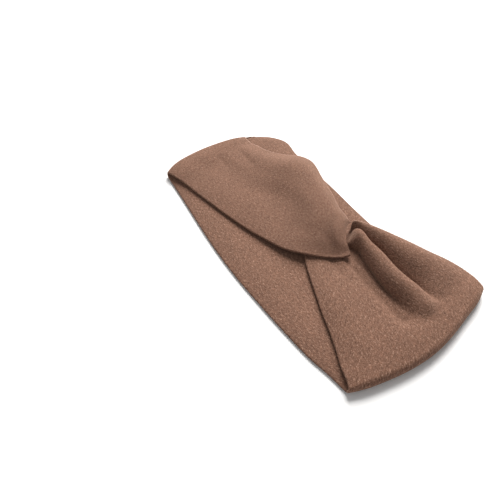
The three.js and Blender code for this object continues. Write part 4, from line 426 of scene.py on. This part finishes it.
KNIT_OUT = knit_material("brushed_knit_outer_look", (0.178, 0.091, 0.060), (0.048, 0.019, 0.011), (0.47, 0.30, 0.22), 0.26)
KNIT_IN = knit_material("brushed_knit_inner_look", (0.178, 0.091, 0.060), (0.048, 0.019, 0.011), (0.47, 0.30, 0.22), 0.26)
THREAD = knit_material("seam_thread_look", (0.22, 0.125, 0.088), (0.13, 0.07, 0.05), (0.36, 0.24, 0.18), 0.15)
# light-coloured thread material: painted highlight for the bright line along the front panels' upper edges
PAINTED_RIM_HIGHLIGHT = knit_material("painted_rim_highlight_look", (0.42, 0.27, 0.205), (0.30, 0.18, 0.135), (0.60, 0.44, 0.36), 0.15)


def grid(a, b):
    iu = rows_between(a, b)
    P = bilinear(S, iu, cols)
    P[..., 2] -= (HALF - half_thickness(from_edge(P))) * unit_normals(P)[..., 2] ** 2      # its underside stays flat
    N = unit_normals(P)
    # distances along and across, in metres, so the knit keeps its scale
    uv = np.stack(np.broadcast_arrays((iu * 0.75 * 0.001)[:, None], (cols / (NC - 1) * 0.118)[None, :]), -1)
    return P, N, uv


# the outer layer's pieces meet under the end folds, the inner layer's on top of them
end = uu[-1]
outs, ins = {}, {}
for prefix, a, b in (("left_front", 0.0, at["L6"]), ("back", at["L6"], at["R6"]), ("right_front", at["R6"], end)):
    P, N, uv = grid(a, b)
    outs[prefix] = (shell(prefix + "_outer_knit", P, N, 1, None, KNIT_OUT, uv), P, N)
for prefix, a, b in (("left_front", 0.0, at["L0"]), ("back", at["L0"], at["R0"]), ("right_front", at["R0"], end)):
    P, N, uv = grid(a, b)
    ins[prefix] = (shell(prefix + "_inner_knit", P, N, -1, None, KNIT_IN, uv + 0.7), P, N)


def seam(name, line, normal, radius, material):
    """sewing thread that lies in the groove between the two layers along an edge"""
    t = np.gradient(line, axis=0)
    t /= np.linalg.norm(t, axis=1, keepdims=True)
    b = np.cross(t, normal)
    b /= np.linalg.norm(b, axis=1, keepdims=True)
    n = np.cross(b, t)
    ns, nk = len(line), 8
    s = np.concatenate([[0], np.cumsum(np.linalg.norm(np.diff(line, axis=0), axis=1))])
    r = radius * (1 + 0.22 * np.sin(s * 2 * math.pi / 2.4))
    v = []
    for k in range(nk):
        a = 2 * math.pi * k / nk
        v.append(line + n * (r * math.cos(a))[:, None] + b * (r * math.sin(a))[:, None])
    v = np.stack(v, 1).reshape(-1, 3) * 0.001
    idx = np.arange(ns * nk).reshape(ns, nk)
    nx = np.roll(idx, -1, axis=1)
    f = np.stack([idx[:-1], nx[:-1], nx[1:], idx[1:]], -1).reshape(-1, 4).tolist()
    f += [idx[0][::-1].tolist(), idx[-1].tolist()]
    me = bpy.data.meshes.new(name)
    me.from_pydata(v.tolist(), [], f)
    me.update()
    me.polygons.foreach_set("use_smooth", np.ones(len(me.polygons), bool))
    across = np.tile(np.arange(nk) * 2 * math.pi * radius / nk, ns)
    uv = np.stack([np.repeat(s, nk), across], 1) * 0.001
    corner = np.empty(len(me.loops), np.int64)
    me.loops.foreach_get("vertex_index", corner)
    me.uv_layers.new(name="UVMap").data.foreach_set("uv", uv[corner].astype(np.float32).ravel())
    o = bpy.data.objects.new(name, me)
    bpy.context.scene.collection.objects.link(o)
    o.data.materials.append(material)
    return o


seams = {}
for prefix, (_, P, N) in outs.items():
    for which, e, q in (("lower", 0, 4), ("upper", -1, -5)):
        inward = P[:, q] - P[:, e]
        inward /= np.maximum(np.linalg.norm(inward, axis=1, keepdims=True), 1e-6)
        rim = which == "upper" and prefix != "back"  # the front panels' upper edges get a lighter, thicker thread raised on the outside: a painted highlight where the fuzzy edge catches the key light
        line = P[:, e] + inward * (0.30 if rim else 0.22) + N[:, e] * (0.50 if rim else 0.0)
        seams[prefix + "_" + which] = seam(prefix + "_seam_" + which + "_thread", line, N[:, e], 0.32 if rim else 0.16, PAINTED_RIM_HIGHLIGHT if rim else THREAD)

# ------------------------------------------------------------------ bodies
for prefix in outs:
    o, i = outs[prefix][0], ins[prefix][0]
    lo_t, up_t = seams[prefix + "_lower"], seams[prefix + "_upper"]
    for piece in (o, i, lo_t, up_t):
        if prefix == "back":
            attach(piece, "back")
        else:
            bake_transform(piece)
    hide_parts(prefix + "_outer_layer")
    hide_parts(prefix + "_inner_layer")
    for piece, w in ((lo_t, "lower"), (up_t, "upper")):
        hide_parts(prefix + "_seam_" + w)

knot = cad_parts["knot_seam"]
knot.data.materials.clear()
knot.data.materials.append(THREAD)

# ------------------------------------------------------------------ floor, light, camera
SH = Vector((2.8, -4.94, 0)) * 0.001
CAM = Vector((0.192653, -0.176589, 0.278469)) + SH
AIM = Vector((-0.014009, -0.034609, 0.0)) + SH
fm = bpy.data.materials.new("floor_look")
fm.use_nodes = True
b = fm.node_tree.nodes["Principled BSDF"]
b.inputs["Base Color"].default_value = (0.92, 0.92, 0.92, 1)
b.inputs["Roughness"].default_value = 0.9
me = bpy.data.meshes.new("floor")
s = 4.0
me.from_pydata([(-s, -s, -0.0002), (s, -s, -0.0002), (s, s, -0.0002), (-s, s, -0.0002)], [], [(0, 1, 2, 3)])
floor = bpy.data.objects.new("floor", me)
bpy.context.scene.collection.objects.link(floor)
me.materials.append(fm)

cam = bpy.data.objects.new("camera", bpy.data.cameras.new("camera"))
bpy.context.scene.collection.objects.link(cam)
cam.location = CAM
cam.rotation_euler = (AIM - CAM).to_track_quat("-Z", "Y").to_euler()
cam.data.lens = 40.32
cam.data.sensor_width = 36
cam.data.clip_start = 0.01
bpy.context.scene.camera = cam

# directions seen from the camera: r to its right, f away from it along the floor
f = (AIM - CAM)
f.z = 0
f.normalize()
r = Vector((f.y, -f.x, 0))


def area(name, right, away, up, size, watts, color=(1, 1, 1)):
    l = bpy.data.lights.new(name, "AREA")
    l.shape = "SQUARE"
    l.size = size
    l.energy = watts
    l.color = color
    o = bpy.data.objects.new(name, l)
    bpy.context.scene.collection.objects.link(o)
    o.location = AIM + r * right + f * away + Vector((0, 0, up))
    o.rotation_euler = (AIM - o.location).to_track_quat("-Z", "Y").to_euler()
    return o


area("key", 0.50, 1.80, 1.35, 1.5, 128.0, (1.0, 0.985, 0.965))
area("fill", -0.8, -1.2, 1.2, 1.2, 4.0)
w = bpy.data.worlds.new("world")
bpy.context.scene.world = w
w.use_nodes = True
w.node_tree.nodes["Background"].inputs[0].default_value = (1, 1, 1, 1)
w.node_tree.nodes["Background"].inputs[1].default_value = 0.28
bpy.context.scene.view_settings.view_transform = "Standard"
